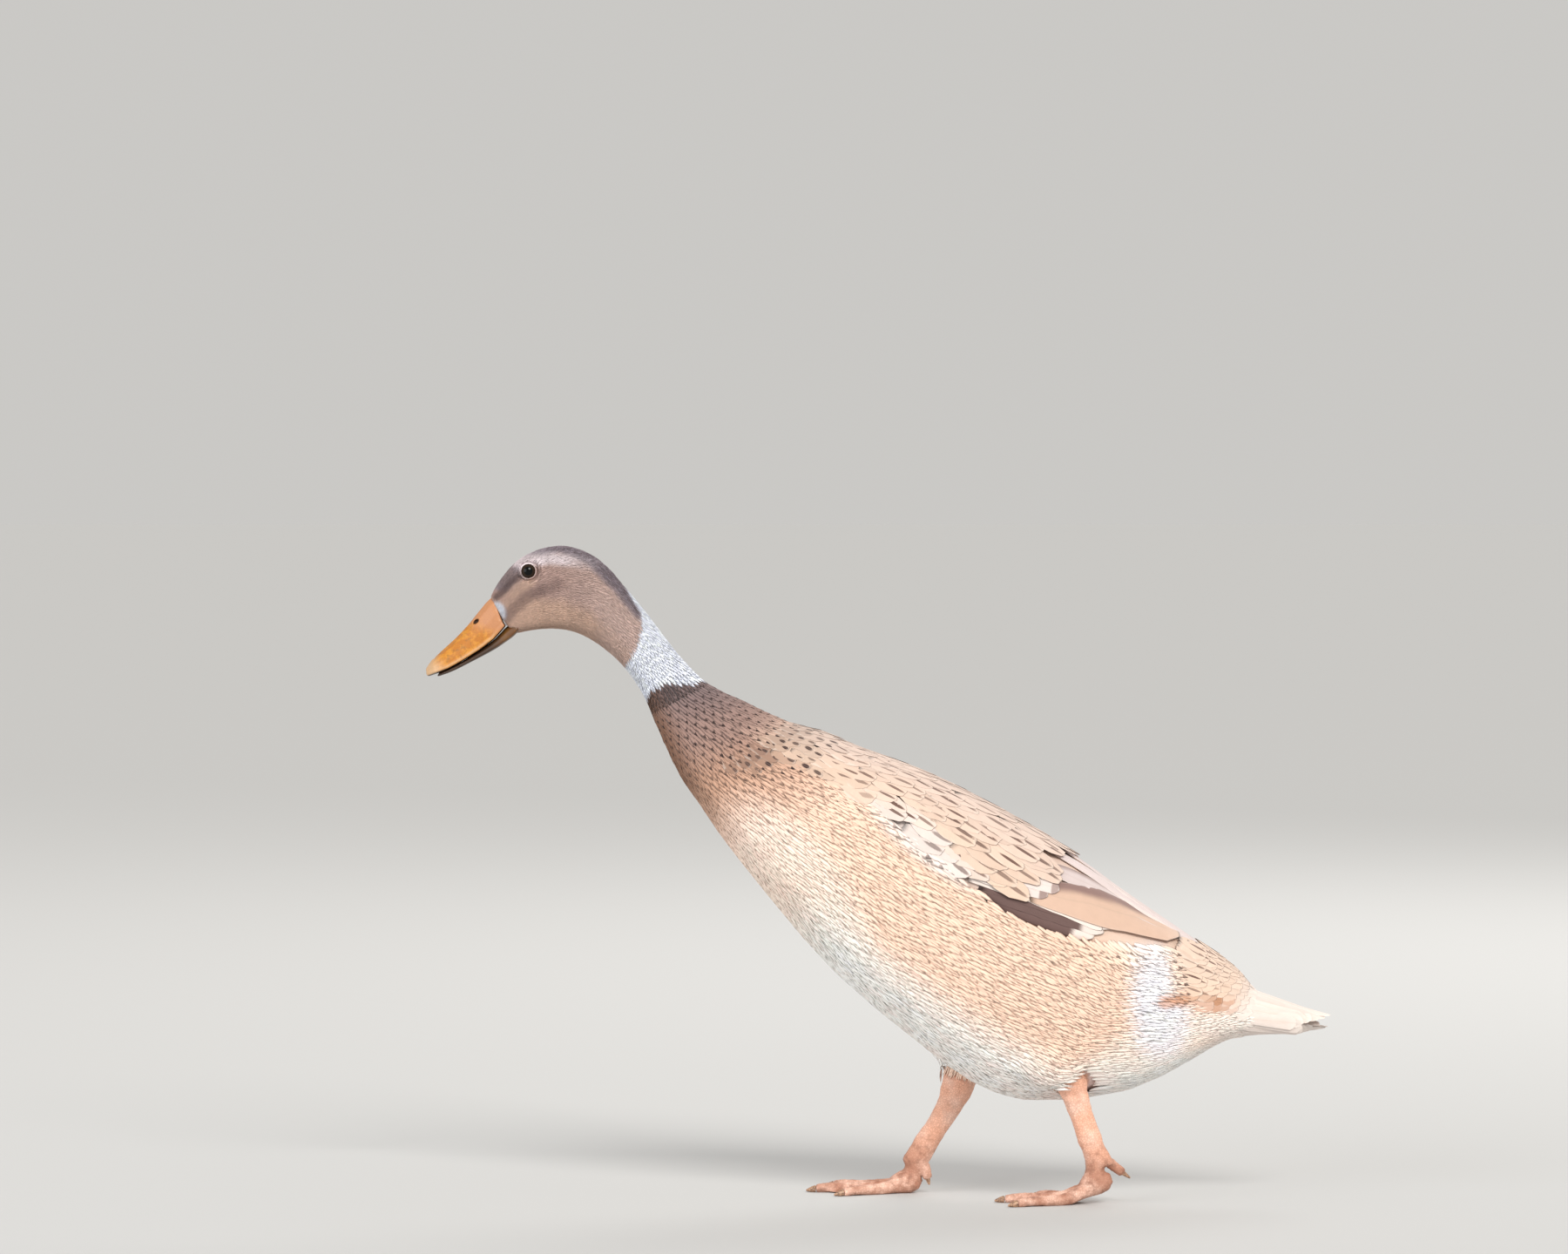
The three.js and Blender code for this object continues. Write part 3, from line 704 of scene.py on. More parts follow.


# Nostrils, nail and rim of the upper bill, and the share of each of its colours; the dark share is
# painted shade, in the nostril pits and under the cutting edge
def shapeUpperBill(points, normals, zones, far, high, wide):
    turn = math.atan2(billWay[1], billWay[0])
    r = ovalDistance(points[:, 0] / mm, points[:, 2] / mm, np.array(bill["nostril"]),
                     bill["nostrilRadii"], turn)
    upperSide = (normals[:, 1] * np.sign(wide) > 0.2) & (high > 0)
    pit = np.where(upperSide, 1 - smooth(r, 0.75, 1.05), 0)
    lipHigh, *lipAt = bill["lip"]
    lip = np.where(upperSide, ridge(r, *lipAt), 0)
    nail = smooth(far, bill["nailFrom"], bill["nailFrom"] + 1.2) * (1 - smooth(np.abs(wide), 4, 5))
    grooveHigh, *grooveAt = bill["nailGroove"]
    groove = ridge(far, *grooveAt) * (np.abs(wide) < 5)
    points[:, 1] -= np.sign(wide) * pit * bill["nostrilDeep"] * mm
    relief = lipHigh * lip + bill["nailHigh"] * nail + grooveHigh * groove
    points += normals * (relief * mm)[:, None]
    fromEdge = -besides(bill["edge"], points[:, 0] / mm, points[:, 2] / mm)
    rimHigh, *rimAt = bill["rim"]
    rim = ridge(fromEdge, *rimAt) * smooth(far, 6, 14)
    underHigh, *underAt = bill["rimGroove"]
    relief = rimHigh * rim + underHigh * ridge(fromEdge, *underAt)
    points += normals * (relief * mm)[:, None]
    zones[:, 0] = (1 - smooth(far - 0.5 * high, 9, 20)) * 0.9
    zones[:, 1] = np.maximum(smooth(far, 44, 56), 0.65 * rim)
    # painted shade: the nostril pits and the underside of the cutting edge, where the gap between
    # the bills lies in shadow, are painted near-black
    zones[:, 2] = np.maximum(pit, 0.95 * smooth(-fromEdge, -0.1, 0.5))


billHorn = billMaterial()
for node in ("bill_upper", "bill_lower"):
    piece = remeshed(joinedNodes(node + "Work", [node]), bill["voxel"], 12)
    piece.name = "horn_" + node
    points = readPoints(piece.data)
    normals = readPoints(piece.data, "normal")
    far, high, wide = billPlace(points)
    zones = np.zeros((len(points), 3))
    rootFrom, rootDeep = bill["root"][node]
    back = (1 - smooth(far, rootFrom - 1, rootFrom + 1)) * rootDeep
    points[:, 0] -= back * billWay[0] * mm
    points[:, 2] -= back * billWay[1] * mm
    if node == "bill_upper":
        shapeUpperBill(points, normals, zones, far, high, wide)
        hornUpper = piece
    else:
        upperFace = smooth(normals[:, 2], 0.1, 0.5) * smooth(far, 0, 6)
        points += (upperFace * bill["closed"] * mm)[:, None] * np.array([0.5, 0, 0.8])
        # painted shade: the lower bill is painted mostly near-black, its own darker horn with the
        # shadow of the upper bill painted over it
        zones[:, 2] = 0.8 + 0.18 * smooth(far, 4, 20)
    points[:, 0] = np.maximum(points[:, 0], sizeBefore[0][0])   # the tip stays where it was
    writePoints(piece.data, points)
    setAttribute(piece.data, "zones", "FLOAT_VECTOR", zones)
    dress(piece, billHorn)
    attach(piece, "root")
    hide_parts(node)


# Ground that the coat lies on: the skin and the root of the bill
groundSkin = BVHTree.FromObject(skin, bpy.context.evaluated_depsgraph_get())
groundBill = BVHTree.FromObject(hornUpper, bpy.context.evaluated_depsgraph_get())
billBack = (Vector((bill["axisFrom"][0], 0, bill["axisFrom"][1])) -
            Vector((bill["axisTo"][0], 0, bill["axisTo"][1]))).normalized()
# How the face feathers run onto the bill: how far in mm, and round which angle in degrees
featherEdge = {"forward": 2.8, "centre": 72, "spread": 34}


# Where a ray from the middle of the section, turned by angle from the back, leaves the skin
def onSkin(run, angle):
    middle, up = section(max(run, 0))
    way = up * math.cos(angle) + Vector((0, math.sin(angle), 0))
    if run >= 0:
        return groundSkin.ray_cast(middle, way)[:2]
    off = (abs(math.degrees(angle)) - featherEdge["centre"]) / featherEdge["spread"]
    if -run > featherEdge["forward"] * math.exp(-off * off):
        return None, None
    return groundBill.ray_cast(middle + billBack * run * mm, way)[:2]


# A feather's mesh in the making, whose points know where on the feather they are
def featherWork():
    work = bmesh.new()
    return work, [work.verts.layers.float.new(name) for name in ("along", "across", "thick")]


def featherMesh(name, work, layers):
    uv = work.loops.layers.uv.new("vane")
    for face in work.faces:
        for loop in face.loops:
            loop[uv].uv = (loop.vert[layers[1]] * 0.5 + 0.5, loop.vert[layers[0]])
    mesh = bpy.data.meshes.new(name)
    work.to_mesh(mesh)
    work.free()
    return mesh


# A flat feather one unit long and one to each side, closed underneath, with a narrow rim
def vaneMesh(name, columns, rows, tipRound, ragged, rootWidth, seed, thick=0.025, rim=0.05):
    draw = np.random.default_rng(seed)
    across = np.concatenate([[-1], np.linspace(-1 + rim, 1 - rim, columns - 1), [1]])
    reach = 1 - tipRound * np.abs(across) ** 2.2 - ragged * draw.random(columns + 1)
    work, layers = featherWork()
    alongLayer, acrossLayer, thickLayer = layers
    grid = []
    for r in range(rows + 1):
        share = 1 if r == rows else r / (rows - 1) * (1 - 0.5 * rim)
        width = rootWidth + (1 - rootWidth) * math.sin(min(1, share / 0.62) * math.pi / 2)
        width *= 1 - 0.1 * share ** 3
        line = []
        for k, a in enumerate(across):
            v = work.verts.new((a * width, share * reach[k], 0))
            v[alongLayer] = share * reach[k]
            v[acrossLayer] = a
            v[thickLayer] = thick * (1 - a * a) * (1 - 0.6 * share)
            line.append(v)
        grid.append(line)
    # The underside comes first, so the upper faces' normals rule at the rim
    undersides = []
    for k in range(columns):
        low = [grid[0][k + 1], grid[0][k]]
        high = [grid[rows][k], grid[rows][k + 1]]
        if k == 0:
            low = [grid[0][1]] + [grid[r][0] for r in range(rows)]
        if k == columns - 1:
            high = [grid[rows][k]] + [grid[r][columns] for r in range(rows, 0, -1)]
        undersides.append(work.faces.new(low + high))
    for r in range(rows):
        for k in range(columns):
            work.faces.new((grid[r][k], grid[r][k + 1], grid[r + 1][k + 1], grid[r + 1][k]))
    for face in work.faces:
        face.smooth = face not in undersides
    return featherMesh(name, work, layers)


# A small pointed feather of three sides
def tuftMesh(name, rows, seed):
    draw = np.random.default_rng(seed)
    work, layers = featherWork()
    alongLayer, acrossLayer, thickLayer = layers
    lean = (draw.random() - 0.5) * 0.3
    rings = []
    for r in range(rows):
        share = r / rows
        width = (0.45 + 0.55 * math.sin(min(1, share / 0.5) * math.pi / 2)) * (1 - share ** 2.4)
        ringVerts = []
        for a in (-1, 0, 1):
            v = work.verts.new((a * width + lean * share ** 2, share, 0))
            v[alongLayer], v[acrossLayer], v[thickLayer] = share, a, 0.2 * (1 - a * a)
            ringVerts.append(v)
        rings.append(ringVerts)
    tip = work.verts.new((lean, 1, 0))
    tip[alongLayer] = 1
    work.faces.new(tuple(reversed(rings[0])))
    for k in (2, 0, 1):
        j = (k + 1) % 3
        for low, high in zip(rings[:-1], rings[1:]):
            work.faces.new((low[k], low[j], high[j], high[k])).smooth = k < 2
        work.faces.new((rings[-1][k], rings[-1][j], tip)).smooth = k < 2
    return featherMesh(name, work, layers)


def shapeSet(name, meshes):
    collection = bpy.data.collections.new(name)
    for mesh in meshes:
        collection.objects.link(bpy.data.objects.new(mesh.name, mesh))
    return collection


shapes = {
    "tuft": shapeSet("tuftShapes", [tuftMesh(f"tuft{i}", 4, i) for i in range(4)]),
    "contour": shapeSet("contourShapes", [
        vaneMesh(f"contour{i}", 9, 6, 0.3, 0.06, 0.35, 20 + i) for i in range(5)]),
    "quill": shapeSet("quillShapes", [
        vaneMesh(f"quill{i}", 12, 17, 0.1, 0.012, 0.55, 40 + i, rim=0.03) for i in range(3)]),
}


# The tree that lays feathers on the skin
def coatTree():
    tree = bpy.data.node_groups.new("layCoat", "GeometryNodeTree")
    kinds = {"Roots": "Geometry", "Shapes": "Collection", "Ground": "Object", "Coat": "Material",
             "Patch": "Float"}
    sockets = {}
    for label, kind in kinds.items():
        sockets[label] = tree.interface.new_socket(name=label, in_out="INPUT",
                                                   socket_type="NodeSocket" + kind)
    tree.interface.new_socket(name="Coat", in_out="OUTPUT", socket_type="NodeSocketGeometry")
    node = partial(addNode, tree)
    start = node("NodeGroupInput", {})

    def named(name, kind="FLOAT"):
        return node("GeometryNodeInputNamedAttribute", {"Name": name}, data_type=kind)["Attribute"]

    def vectors(operation, inputs):
        return node("ShaderNodeVectorMath", inputs, operation=operation)[0]

    def number(operation, a, b):
        return node("ShaderNodeMath", {0: a, 1: b}, operation=operation)[0]

    turn = node("FunctionNodeAxesToRotation",
                {0: named("out", "FLOAT_VECTOR"), 1: named("lie", "FLOAT_VECTOR")},
                primary_axis="Z", secondary_axis="Y")
    shape = node("GeometryNodeCollectionInfo", {
        "Collection": start["Shapes"], "Separate Children": True, "Reset Children": True})
    placed = node("GeometryNodeInstanceOnPoints", {
        "Points": start["Roots"], "Instance": shape["Instances"], "Pick Instance": True,
        "Instance Index": named("shape", "INT"), "Rotation": turn["Rotation"],
        "Scale": named("sizes", "FLOAT_VECTOR")})
    feathers = node("GeometryNodeRealizeInstances", {"Geometry": placed["Instances"]})

    # Each point drops to the nearest skin, and is lifted by how far along its feather it is
    surface = node("GeometryNodeObjectInfo", {"Object": start["Ground"]})["Geometry"]
    place = node("GeometryNodeInputPosition", {})["Position"]

    def sampled(value):
        return node("GeometryNodeSampleNearestSurface",
                    {"Mesh": surface, "Value": value, "Sample Position": place},
                    data_type="FLOAT_VECTOR")["Value"]

    nearest = sampled(node("GeometryNodeInputPosition", {})["Position"])
    upward = vectors("NORMALIZE", {0: sampled(named("up", "FLOAT_VECTOR"))})
    low, rising, leaning = node("ShaderNodeSeparateXYZ", {0: named("heights", "FLOAT_VECTOR")})
    alongShare = named("along")
    rise = number("MULTIPLY", rising, number("POWER", alongShare, 1.25))
    tilt = number("MULTIPLY", leaning, named("across"))
    half = node("ShaderNodeSeparateXYZ", {0: named("sizes", "FLOAT_VECTOR")})["X"]
    level = number("ADD", number("ADD", low, rise), tilt)
    level = number("ADD", level, number("MULTIPLY", named("thick"), half))
    laid = vectors("ADD", {0: nearest, 1: vectors("SCALE", {0: upward, "Scale": level})})
    outward = vectors("SCALE", {0: named("out", "FLOAT_VECTOR"), "Scale": level})
    straight = vectors("ADD", {0: place, 1: outward})
    free = number("MULTIPLY", named("free"), alongShare)
    blend = node("ShaderNodeMix", {0: free, 4: laid, 5: straight}, data_type="VECTOR")[1]
    move = node("GeometryNodeSetPosition", {"Geometry": feathers["Geometry"], "Position": blend})

    # Every feather's patch sits at its root's place on the unrolled skin
    local = node("ShaderNodeCombineXYZ", {"X": named("across"), "Y": alongShare})[0]
    patch = vectors("ADD", {0: named("rootMap", "FLOAT_VECTOR"),
                            1: vectors("SCALE", {0: local, "Scale": start["Patch"]})})
    store = node("GeometryNodeStoreNamedAttribute",
                 {"Name": "OFBake", "Geometry": move["Geometry"], "Value": patch},
                 data_type="FLOAT2", domain="CORNER")
    coated = node("GeometryNodeSetMaterial",
                  {"Geometry": store["Geometry"], "Material": start["Coat"]})
    node("NodeGroupOutput", {0: coated["Geometry"]})
    return tree, {label: socket.identifier for label, socket in sockets.items()}


layCoat, layInputs = coatTree()
work = bmesh.new()
work.from_mesh(skin.data)
work.from_mesh(hornUpper.data)
ground = addObject("ground", bpy.data.meshes.new("ground"))
work.to_mesh(ground.data)
work.free()
setAttribute(ground.data, "up", "FLOAT_VECTOR", readPoints(ground.data, "normal"))
ground.hide_render = True


# Reads each feather's own colour, mark and edge, and draws shaft and barbs on its vane
def featherMaterial(name, barbScale, barbDepth, roughness):
    material, t = shaderNodes(name, roughness)
    maths, ramp, add, sub, mul = t.maths, t.ramp, t.add, t.sub, t.mul
    u, v, _ = t.split(t.node("ShaderNodeUVMap", {}, uv_map="vane")["UV"])
    side = mul(sub(u, 0.5), 2.0)
    off = maths("ABSOLUTE", side)
    strength, width, begin = t.split(t.attribute("mark", "Vector"))
    rim, upper, chance = t.split(t.attribute("rim", "Vector"))
    sizeX, sizeY, _ = t.split(t.attribute("sizes", "Vector"))
    slanted = mul(sub(v, mul(off, 0.22)), mul(sizeY, barbScale))
    barbs = t.joinXyz(mul(side, mul(sizeX, 350)), slanted, mul(chance, 37))
    fine = t.noisy(barbs, 1.0, 2.0, 0.6)
    patchy = t.noisy(t.coordinates, 160)
    wobble = mul(sub(fine, 0.5), 0.35)
    # A mark is an oval that ends near the tip, or a bar with a light end
    end = sub(0.99, mul(rim, 0.1))
    middle = mul(add(begin, end), 0.5)
    half = mul(sub(end, begin), 0.5)
    lengthwise = maths("DIVIDE", maths("ABSOLUTE", sub(v, middle)), half)
    crosswise = maths("DIVIDE", off, width)
    distance = maths("SQRT", add(mul(lengthwise, lengthwise), mul(crosswise, crosswise)))
    oval = sub(1.0, ramp(add(distance, wobble), 0.62, 1.05))
    bar = sub(1.0, ramp(add(v, mul(wobble, 0.12)), 0.78, 0.84))
    isBar = maths("GREATER_THAN", width, 2.0)
    inMark = mul(maths("MAXIMUM", mul(oval, sub(1.0, isBar)), mul(bar, isBar)), strength)
    colour = t.mixed(inMark, t.attribute("tint"), t.attribute("markTint"))
    colour = t.mixed(ramp(mul(side, upper), 0.3, 0.95), colour, t.attribute("markTint"))
    edge = ramp(maths("MAXIMUM", mul(off, 0.98), v), 0.86, 0.99)
    colour = t.mixed(mul(edge, rim), colour, (0.86, 0.79, 0.72))
    shaft = sub(1.0, ramp(off, 0.02, 0.07))
    colour = t.mixed(mul(shaft, 0.18), colour, (0.45, 0.33, 0.26))
    shade = add(0.86, mul(fine, 0.22))
    for value, share in ((patchy, 0.12), (chance, 0.1)):
        shade = add(shade, mul(sub(value, 0.5), share))
    t.coloured(t.shaded(colour, shade))
    for socket, value in (("Specular IOR Level", 0.25), ("Sheen Weight", 0.12),
                          ("Sheen Roughness", 0.5)):
        t.shader.inputs[socket].default_value = value
    t.bump(fine, 0.5, barbDepth)
    return material


plumageCoat = featherMaterial("plumageCoat", 5200, 0.0002, 0.75)
quillCoat = featherMaterial("quillCoat", 3800, 0.00025, 0.6)


def skinMaterial():
    material, t = shaderNodes("skinUnderCoat", 0.62)
    cells = t.node("ShaderNodeTexVoronoi", {"Scale": 620, "Vector": t.coordinates},
                   feature="DISTANCE_TO_EDGE")
    scales = t.ramp(cells["Distance"], 0.02, 0.22)
    blotch = t.noisy(t.coordinates, 70, 3.0)
    dust = t.noisy(t.coordinates, 240, 3.0)
    upperLeg = t.ramp(t.split(t.coordinates)[2], 0.016, 0.046)
    dusty = t.mul(t.ramp(dust, 0.45, 0.75), t.sub(0.7, t.mul(upperLeg, 0.5)))
    leg = t.mixed(upperLeg, linear(180, 130, 108), linear(244, 186, 158))
    for share, tint in ((t.ramp(blotch, 0.35, 0.75), (248, 206, 186)), (dusty, (132, 92, 74)),
                        (t.mul(t.sub(1.0, scales), 0.3), (150, 92, 70))):
        leg = t.mixed(share, leg, linear(*tint))
    t.coloured(t.mixed(t.attribute("bare", "Fac"), t.attribute("tint"), leg))
    t.shader.inputs["Specular IOR Level"].default_value = 0.35
    t.bump(t.add(scales, t.mul(dust, 0.4)), 0.35, 0.0003)
    return material


dress(skin, skinMaterial())
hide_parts(*skinPlan["flesh"], *skinPlan["limbs"])
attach(skin, "root")


# Coat
print("coat")
# Feathers by place: length, half width, row pitch, pitch across, all mm
featherPlan = {
    "billRoot": (2.4, 0.5, 0.7, 0.7),
    "lore": (3.2, 0.56, 0.85, 0.8),
    "eye": (4.2, 0.62, 1.0, 0.92),
    "crown": (5.2, 0.72, 1.2, 1.0),
    "nape": (6.2, 0.8, 1.3, 1.15),
    "neckTop": (7.0, 0.95, 1.5, 1.3),
    "collarFoot": (8.0, 1.3, 2.0, 1.7),
    "neckRoot": (9.5, 2.4, 3.0, 3.0),
    "rump": (22, 6.6, 7.6, 7.6),
    "vent": (19, 5.2, 6.6, 6.4),
    "tailCoverts": (17, 4.4, 5.4, 5.0),
    "tailRoot": (15, 3.6, 4.6, 4.4),
}
# The same for the shoulder feathers above the wing
upperPlan = {
    "shoulder": (15, 4.6, 6.0, 6.2),
    "mantle": (22, 5.8, 8.0, 7.6),
    "breast": (29, 6.6, 10, 9.0),
    "keel": (36, 7.4, 12, 9.6),
    "loin": (38, 7.6, 13, 9.6),
    "rump": (30, 7.0, 11, 9.0),
}


def planAt(plan, run):
    table = np.array(list(plan.values()))
    return [float(np.interp(run, [runAt[k] for k in plan], table[:, k])) for k in range(4)]


# Soft small feathers of breast, flanks and belly, which lie as one smooth coat
downPlan = {
    "neckRoot": (8, 1.25, 2.1, 1.8),
    "crop": (10, 1.4, 2.4, 2.0),
    "shoulder": (12, 1.5, 2.5, 2.1),
    "breast": (14, 1.7, 2.8, 2.3),
    "keel": (15, 1.8, 2.9, 2.4),
    "rump": (14, 1.7, 2.8, 2.3),
    "tailCoverts": (12, 1.4, 2.4, 2.0),
    "tailRoot": (10, 1.3, 2.1, 1.8),
}


coatFields = ["place", "out", "lie", "sizes", "heights", "free", "shape", "tint", "markTint",
              "mark", "rim", "rootMap"]
patchSize = 0.0015   # of each feather on the unrolled skin
dropped = ("out", "lie", "heights", "free", "shape", "rootMap", "along", "across", "thick", "up")


def newCoat():
    return {field: [] for field in coatFields}


def addFeather(coat, **values):
    for field in coatFields:
        coat[field].append(values[field])


# Angles round the section at one run, spaced by pitch mm along the skin
def ringRoots(run, pitch, offset, sides=72):
    angles = np.linspace(-math.pi, math.pi, sides + 1)
    spots = [onSkin(max(run, 0.3), a)[0] for a in angles]
    if any(spot is None for spot in spots):
        return []
    steps = [(b - a).length / mm for a, b in zip(spots[:-1], spots[1:])]
    total = sum(steps)
    lengths = np.concatenate([[0], np.cumsum(steps)])
    count = max(6, round(total / pitch))
    wanted = (np.arange(count) + offset) * total / count
    return np.interp(wanted, lengths, angles)


# Where the long wing feathers cover everything else, x, z in mm
quillPolygon = [(62, 200), (88, 206), (98, 212), (112, 226), (128, 230), (176, 192), (208, 172),
                (208, 163), (176, 164), (146, 167), (116, 173.5), (92, 182)]


def insidePolygon(polygon, x, z):
    odd = False
    for (ax, az), (bx, bz) in zip(polygon, polygon[1:] + polygon[:1]):
        if (az > z) != (bz > z) and x < (bx - ax) * (z - az) / (bz - az) + ax:
            odd = not odd
    return odd


def nearEye(p):
    for side in (-1, 1):
        apart = p - eyeCentre(side)
        axis = eyeAxis(side)
        flat = apart - axis * apart.dot(axis)
        if apart.dot(axis) > 0 and flat.length < 8 * mm:
            return flat.length / mm, flat.normalized()
    return None, None


# Whether a place is above a line seen from the side
def above(p, name):
    line = lines[name]
    return p.z / mm > float(np.interp(p.x / mm, [q[0] for q in line], [q[1] for q in line]))


def onBareLeg(p):
    if p.z < shankTop * mm:
        return True
    for leg in legAxes.values():
        a, b = Vector(leg["knee"]) * mm, Vector(leg["hock"]) * mm
        t = max(0, (p - a).dot(b - a) / (b - a).length_squared)
        if p.z < leg["bareUnder"] * mm and (p - a - (b - a) * t).length < 12 * mm:
            return True
    return False


# Staggered rows of roots on the skin between two places, with each feather's frame
def growRows(plan, fromPlace, toPlace, bound=None):
    run = runAt[fromPlace] + 0.4
    if fromPlace == "billRoot":
        run = -featherEdge["forward"]
    row = 0
    grown = []
    while run < runAt[toPlace]:
        length, half, rowPitch, pitch = planAt(plan, run)
        for k, angle in enumerate(ringRoots(run, pitch, 0.5 * (row % 2) + 0.1 * rng.random())):
            here = run + rowPitch * 0.35 * (rng.random() - 0.5)
            turn = angle + (rng.random() - 0.5) * 0.25 * pitch / 20
            chance = rng.random()
            p, n = onSkin(here, turn)
            if p is None:
                continue
            if bound is not None and bound[1] != above(p, bound[0]):
                continue
            ahead, _ = onSkin(max(here, 0.2) + max(1.5, length * 0.35), turn)
            if ahead is None:
                continue
            lie = (ahead - p).normalized()
            x, z = p.x / mm, p.z / mm
            ahead = length * (0.3 if length < 20 else 0.85 if x < 62 else 0.5)
            if insidePolygon(quillPolygon, x + lie.x * ahead, z + lie.z * ahead):
                continue
            distance, outward = nearEye(p)
            reach = 1.0
            if distance is not None and distance < eye["opening"] + 0.2:
                continue
            if distance is not None:
                share = float(1 - smooth(np.array(distance), 4.8, 8))
                lie = (lie + outward * 0.9 * share).normalized()
                reach = 1 - 0.5 * share
            if onBareLeg(p):
                continue
            grown.append({"place": p, "out": n, "lie": lie, "length": length * reach,
                          "half": half, "run": here, "angle": turn, "chance": chance,
                          "tick": row % 2 == 0 and (k + row // 2) % 3 == 0})
        run += rowPitch
        row += 1
    return grown


# Root points with everything the tree and the feather's material read
def coatFrom(grown, shapeCount, tuft=False, soft=False):
    coat = newCoat()
    # Each feather takes its colour from where its visible end lies
    places = np.array([tuple(g["place"] + g["lie"] * g["length"] * 0.7 * mm) for g in grown]) / mm
    run = np.array([g["run"] + 0.7 * g["length"] for g in grown])
    around = np.degrees(np.abs(np.array([g["angle"] for g in grown])))
    colour, mark, wide, begin, markColour = markings(places[:, 0], places[:, 2], run, around)
    depth = depthAt(run)
    ruffle = ridge(places[:, 0], -30, 12) * (around < 40)
    lowShare, toneShare, bright = (0.76, 0.1, 1.3) if soft else (0.25, 0.22, 1) if tuft else (
        0.86, 0.06, 1)
    for i, g in enumerate(grown):
        vary = 1 + 0.14 * (rng.random() - 0.5)
        twist = (0.12 + 0.5 * ruffle[i]) * (rng.random() - 0.5)
        top = depth[i] * (0.92 + 0.08 * rng.random() + 0.35 * ruffle[i] * rng.random())
        low = lowShare * depth[i]
        broad = 1
        if soft:   # only some of the small feathers carry a dark tip, and those lie uppermost
            mark[i] *= g.get("tick", False)
            wide[i], begin[i] = 1.2, 0.68
            if mark[i] > 0.2:
                top += 0.15
                broad = 1.35
        shape = int(rng.integers(shapeCount))
        tone = 1 + toneShare * (rng.random() - 0.5)
        if not tuft:
            tone *= 0.8 + 0.2 * float(smooth(run[i], runAt["shoulder"], runAt["breast"]))
        addFeather(
            coat, place=g["place"], out=g["out"],
            lie=(g["lie"] + g["out"].cross(g["lie"]) * twist).normalized(),
            sizes=(g["half"] * vary * broad * mm, g["length"] * vary * mm, mm),
            heights=(low * mm, (top - low) * mm, 0.03 * g["half"] * mm), free=0.0, shape=shape,
            tint=np.clip(g.get("tint", colour[i]) * tone * bright, 0, 1), markTint=markColour[i],
            mark=(min(1, mark[i] * (0.7 + 0.5 * rng.random())),
                  wide[i] * (0.8 + 0.4 * rng.random()), begin[i]),
            rim=(0.0 if tuft else 0.25, 0.0, g["chance"]), rootMap=unrolled(g["run"], g["angle"]))
    return coat


# The root's place on the skin unrolled: across its girth and along the bird
def unrolled(run, angle):
    return (0.02 + 0.96 * (angle / (2 * math.pi) + 0.5), 0.02 + 0.96 * run / runs[-1], 0)


# One piece of the coat: its roots as a point mesh, then the tree, then plain mesh
def layPiece(name, coat, shapeName, material):
    points = bpy.data.meshes.new(name + "Roots")
    points.from_pydata([tuple(p) for p in coat["place"]], [], [])
    for field in ("out", "lie", "sizes", "heights", "mark", "rim", "rootMap"):
        setAttribute(points, field, "FLOAT_VECTOR", np.array([tuple(v) for v in coat[field]]))
    setAttribute(points, "free", "FLOAT", np.array(coat["free"]))
    setAttribute(points, "shape", "INT", np.array(coat["shape"]))
    for field in ("tint", "markTint"):
        setAttribute(points, field, "FLOAT_COLOR", withAlpha(np.array(coat[field])))
    piece = addObject(name, points)
    lay = piece.modifiers.new("layCoat", "NODES")
    lay.node_group = layCoat
    for label, value in (("Shapes", shapes[shapeName]), ("Ground", ground), ("Coat", material),
                         ("Patch", patchSize)):
        lay[layInputs[label]] = value
    piece = baked(piece)
    for field in dropped:
        layer = piece.data.attributes.get(field)
        if layer is not None:
            piece.data.attributes.remove(layer)
    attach(piece, "root")
    piece.data.calc_loop_triangles()
    print(name, "feathers", len(coat["place"]), "triangles", len(piece.data.loop_triangles))
    return piece


coatPieces = {
    "coatFace": (featherPlan, "billRoot", "eye", "tuft", None),
    "coatHead": (featherPlan, "eye", "nape", "tuft", None),
    "coatHood": (featherPlan, "nape", "collarTop", "tuft", None),
    "coatCollar": (featherPlan, "collarTop", "neckRoot", "tuft", None),
    "coatNeck": (downPlan, "neckRoot", "shoulder", "tuft", None),
    "coatBreast": (downPlan, "shoulder", "breast", "tuft", ("flankTop", False)),
    "coatFlank": (downPlan, "breast", "loin", "tuft", ("flankTop", False)),
    "coatThighs": (downPlan, "loin", "rump", "tuft", ("flankTop", False)),
    "coatVent": (downPlan, "rump", "tailRoot", "tuft", ("rumpFoot", False)),
    "coatMantle": (upperPlan, "shoulder", "rump", "contour", ("upperFoot", True)),
    "coatRump": (featherPlan, "rump", "tailRoot", "contour", ("rumpFoot", True)),
}
for pieceName, (plan, fromPlace, toPlace, shapeName, bound) in coatPieces.items():
    grown = growRows(plan, fromPlace, toPlace, bound)
    count = len(shapes[shapeName].objects)
    coat = coatFrom(grown, count, shapeName == "tuft", plan is downPlan)
    piece = layPiece(pieceName, coat, shapeName, plumageCoat)

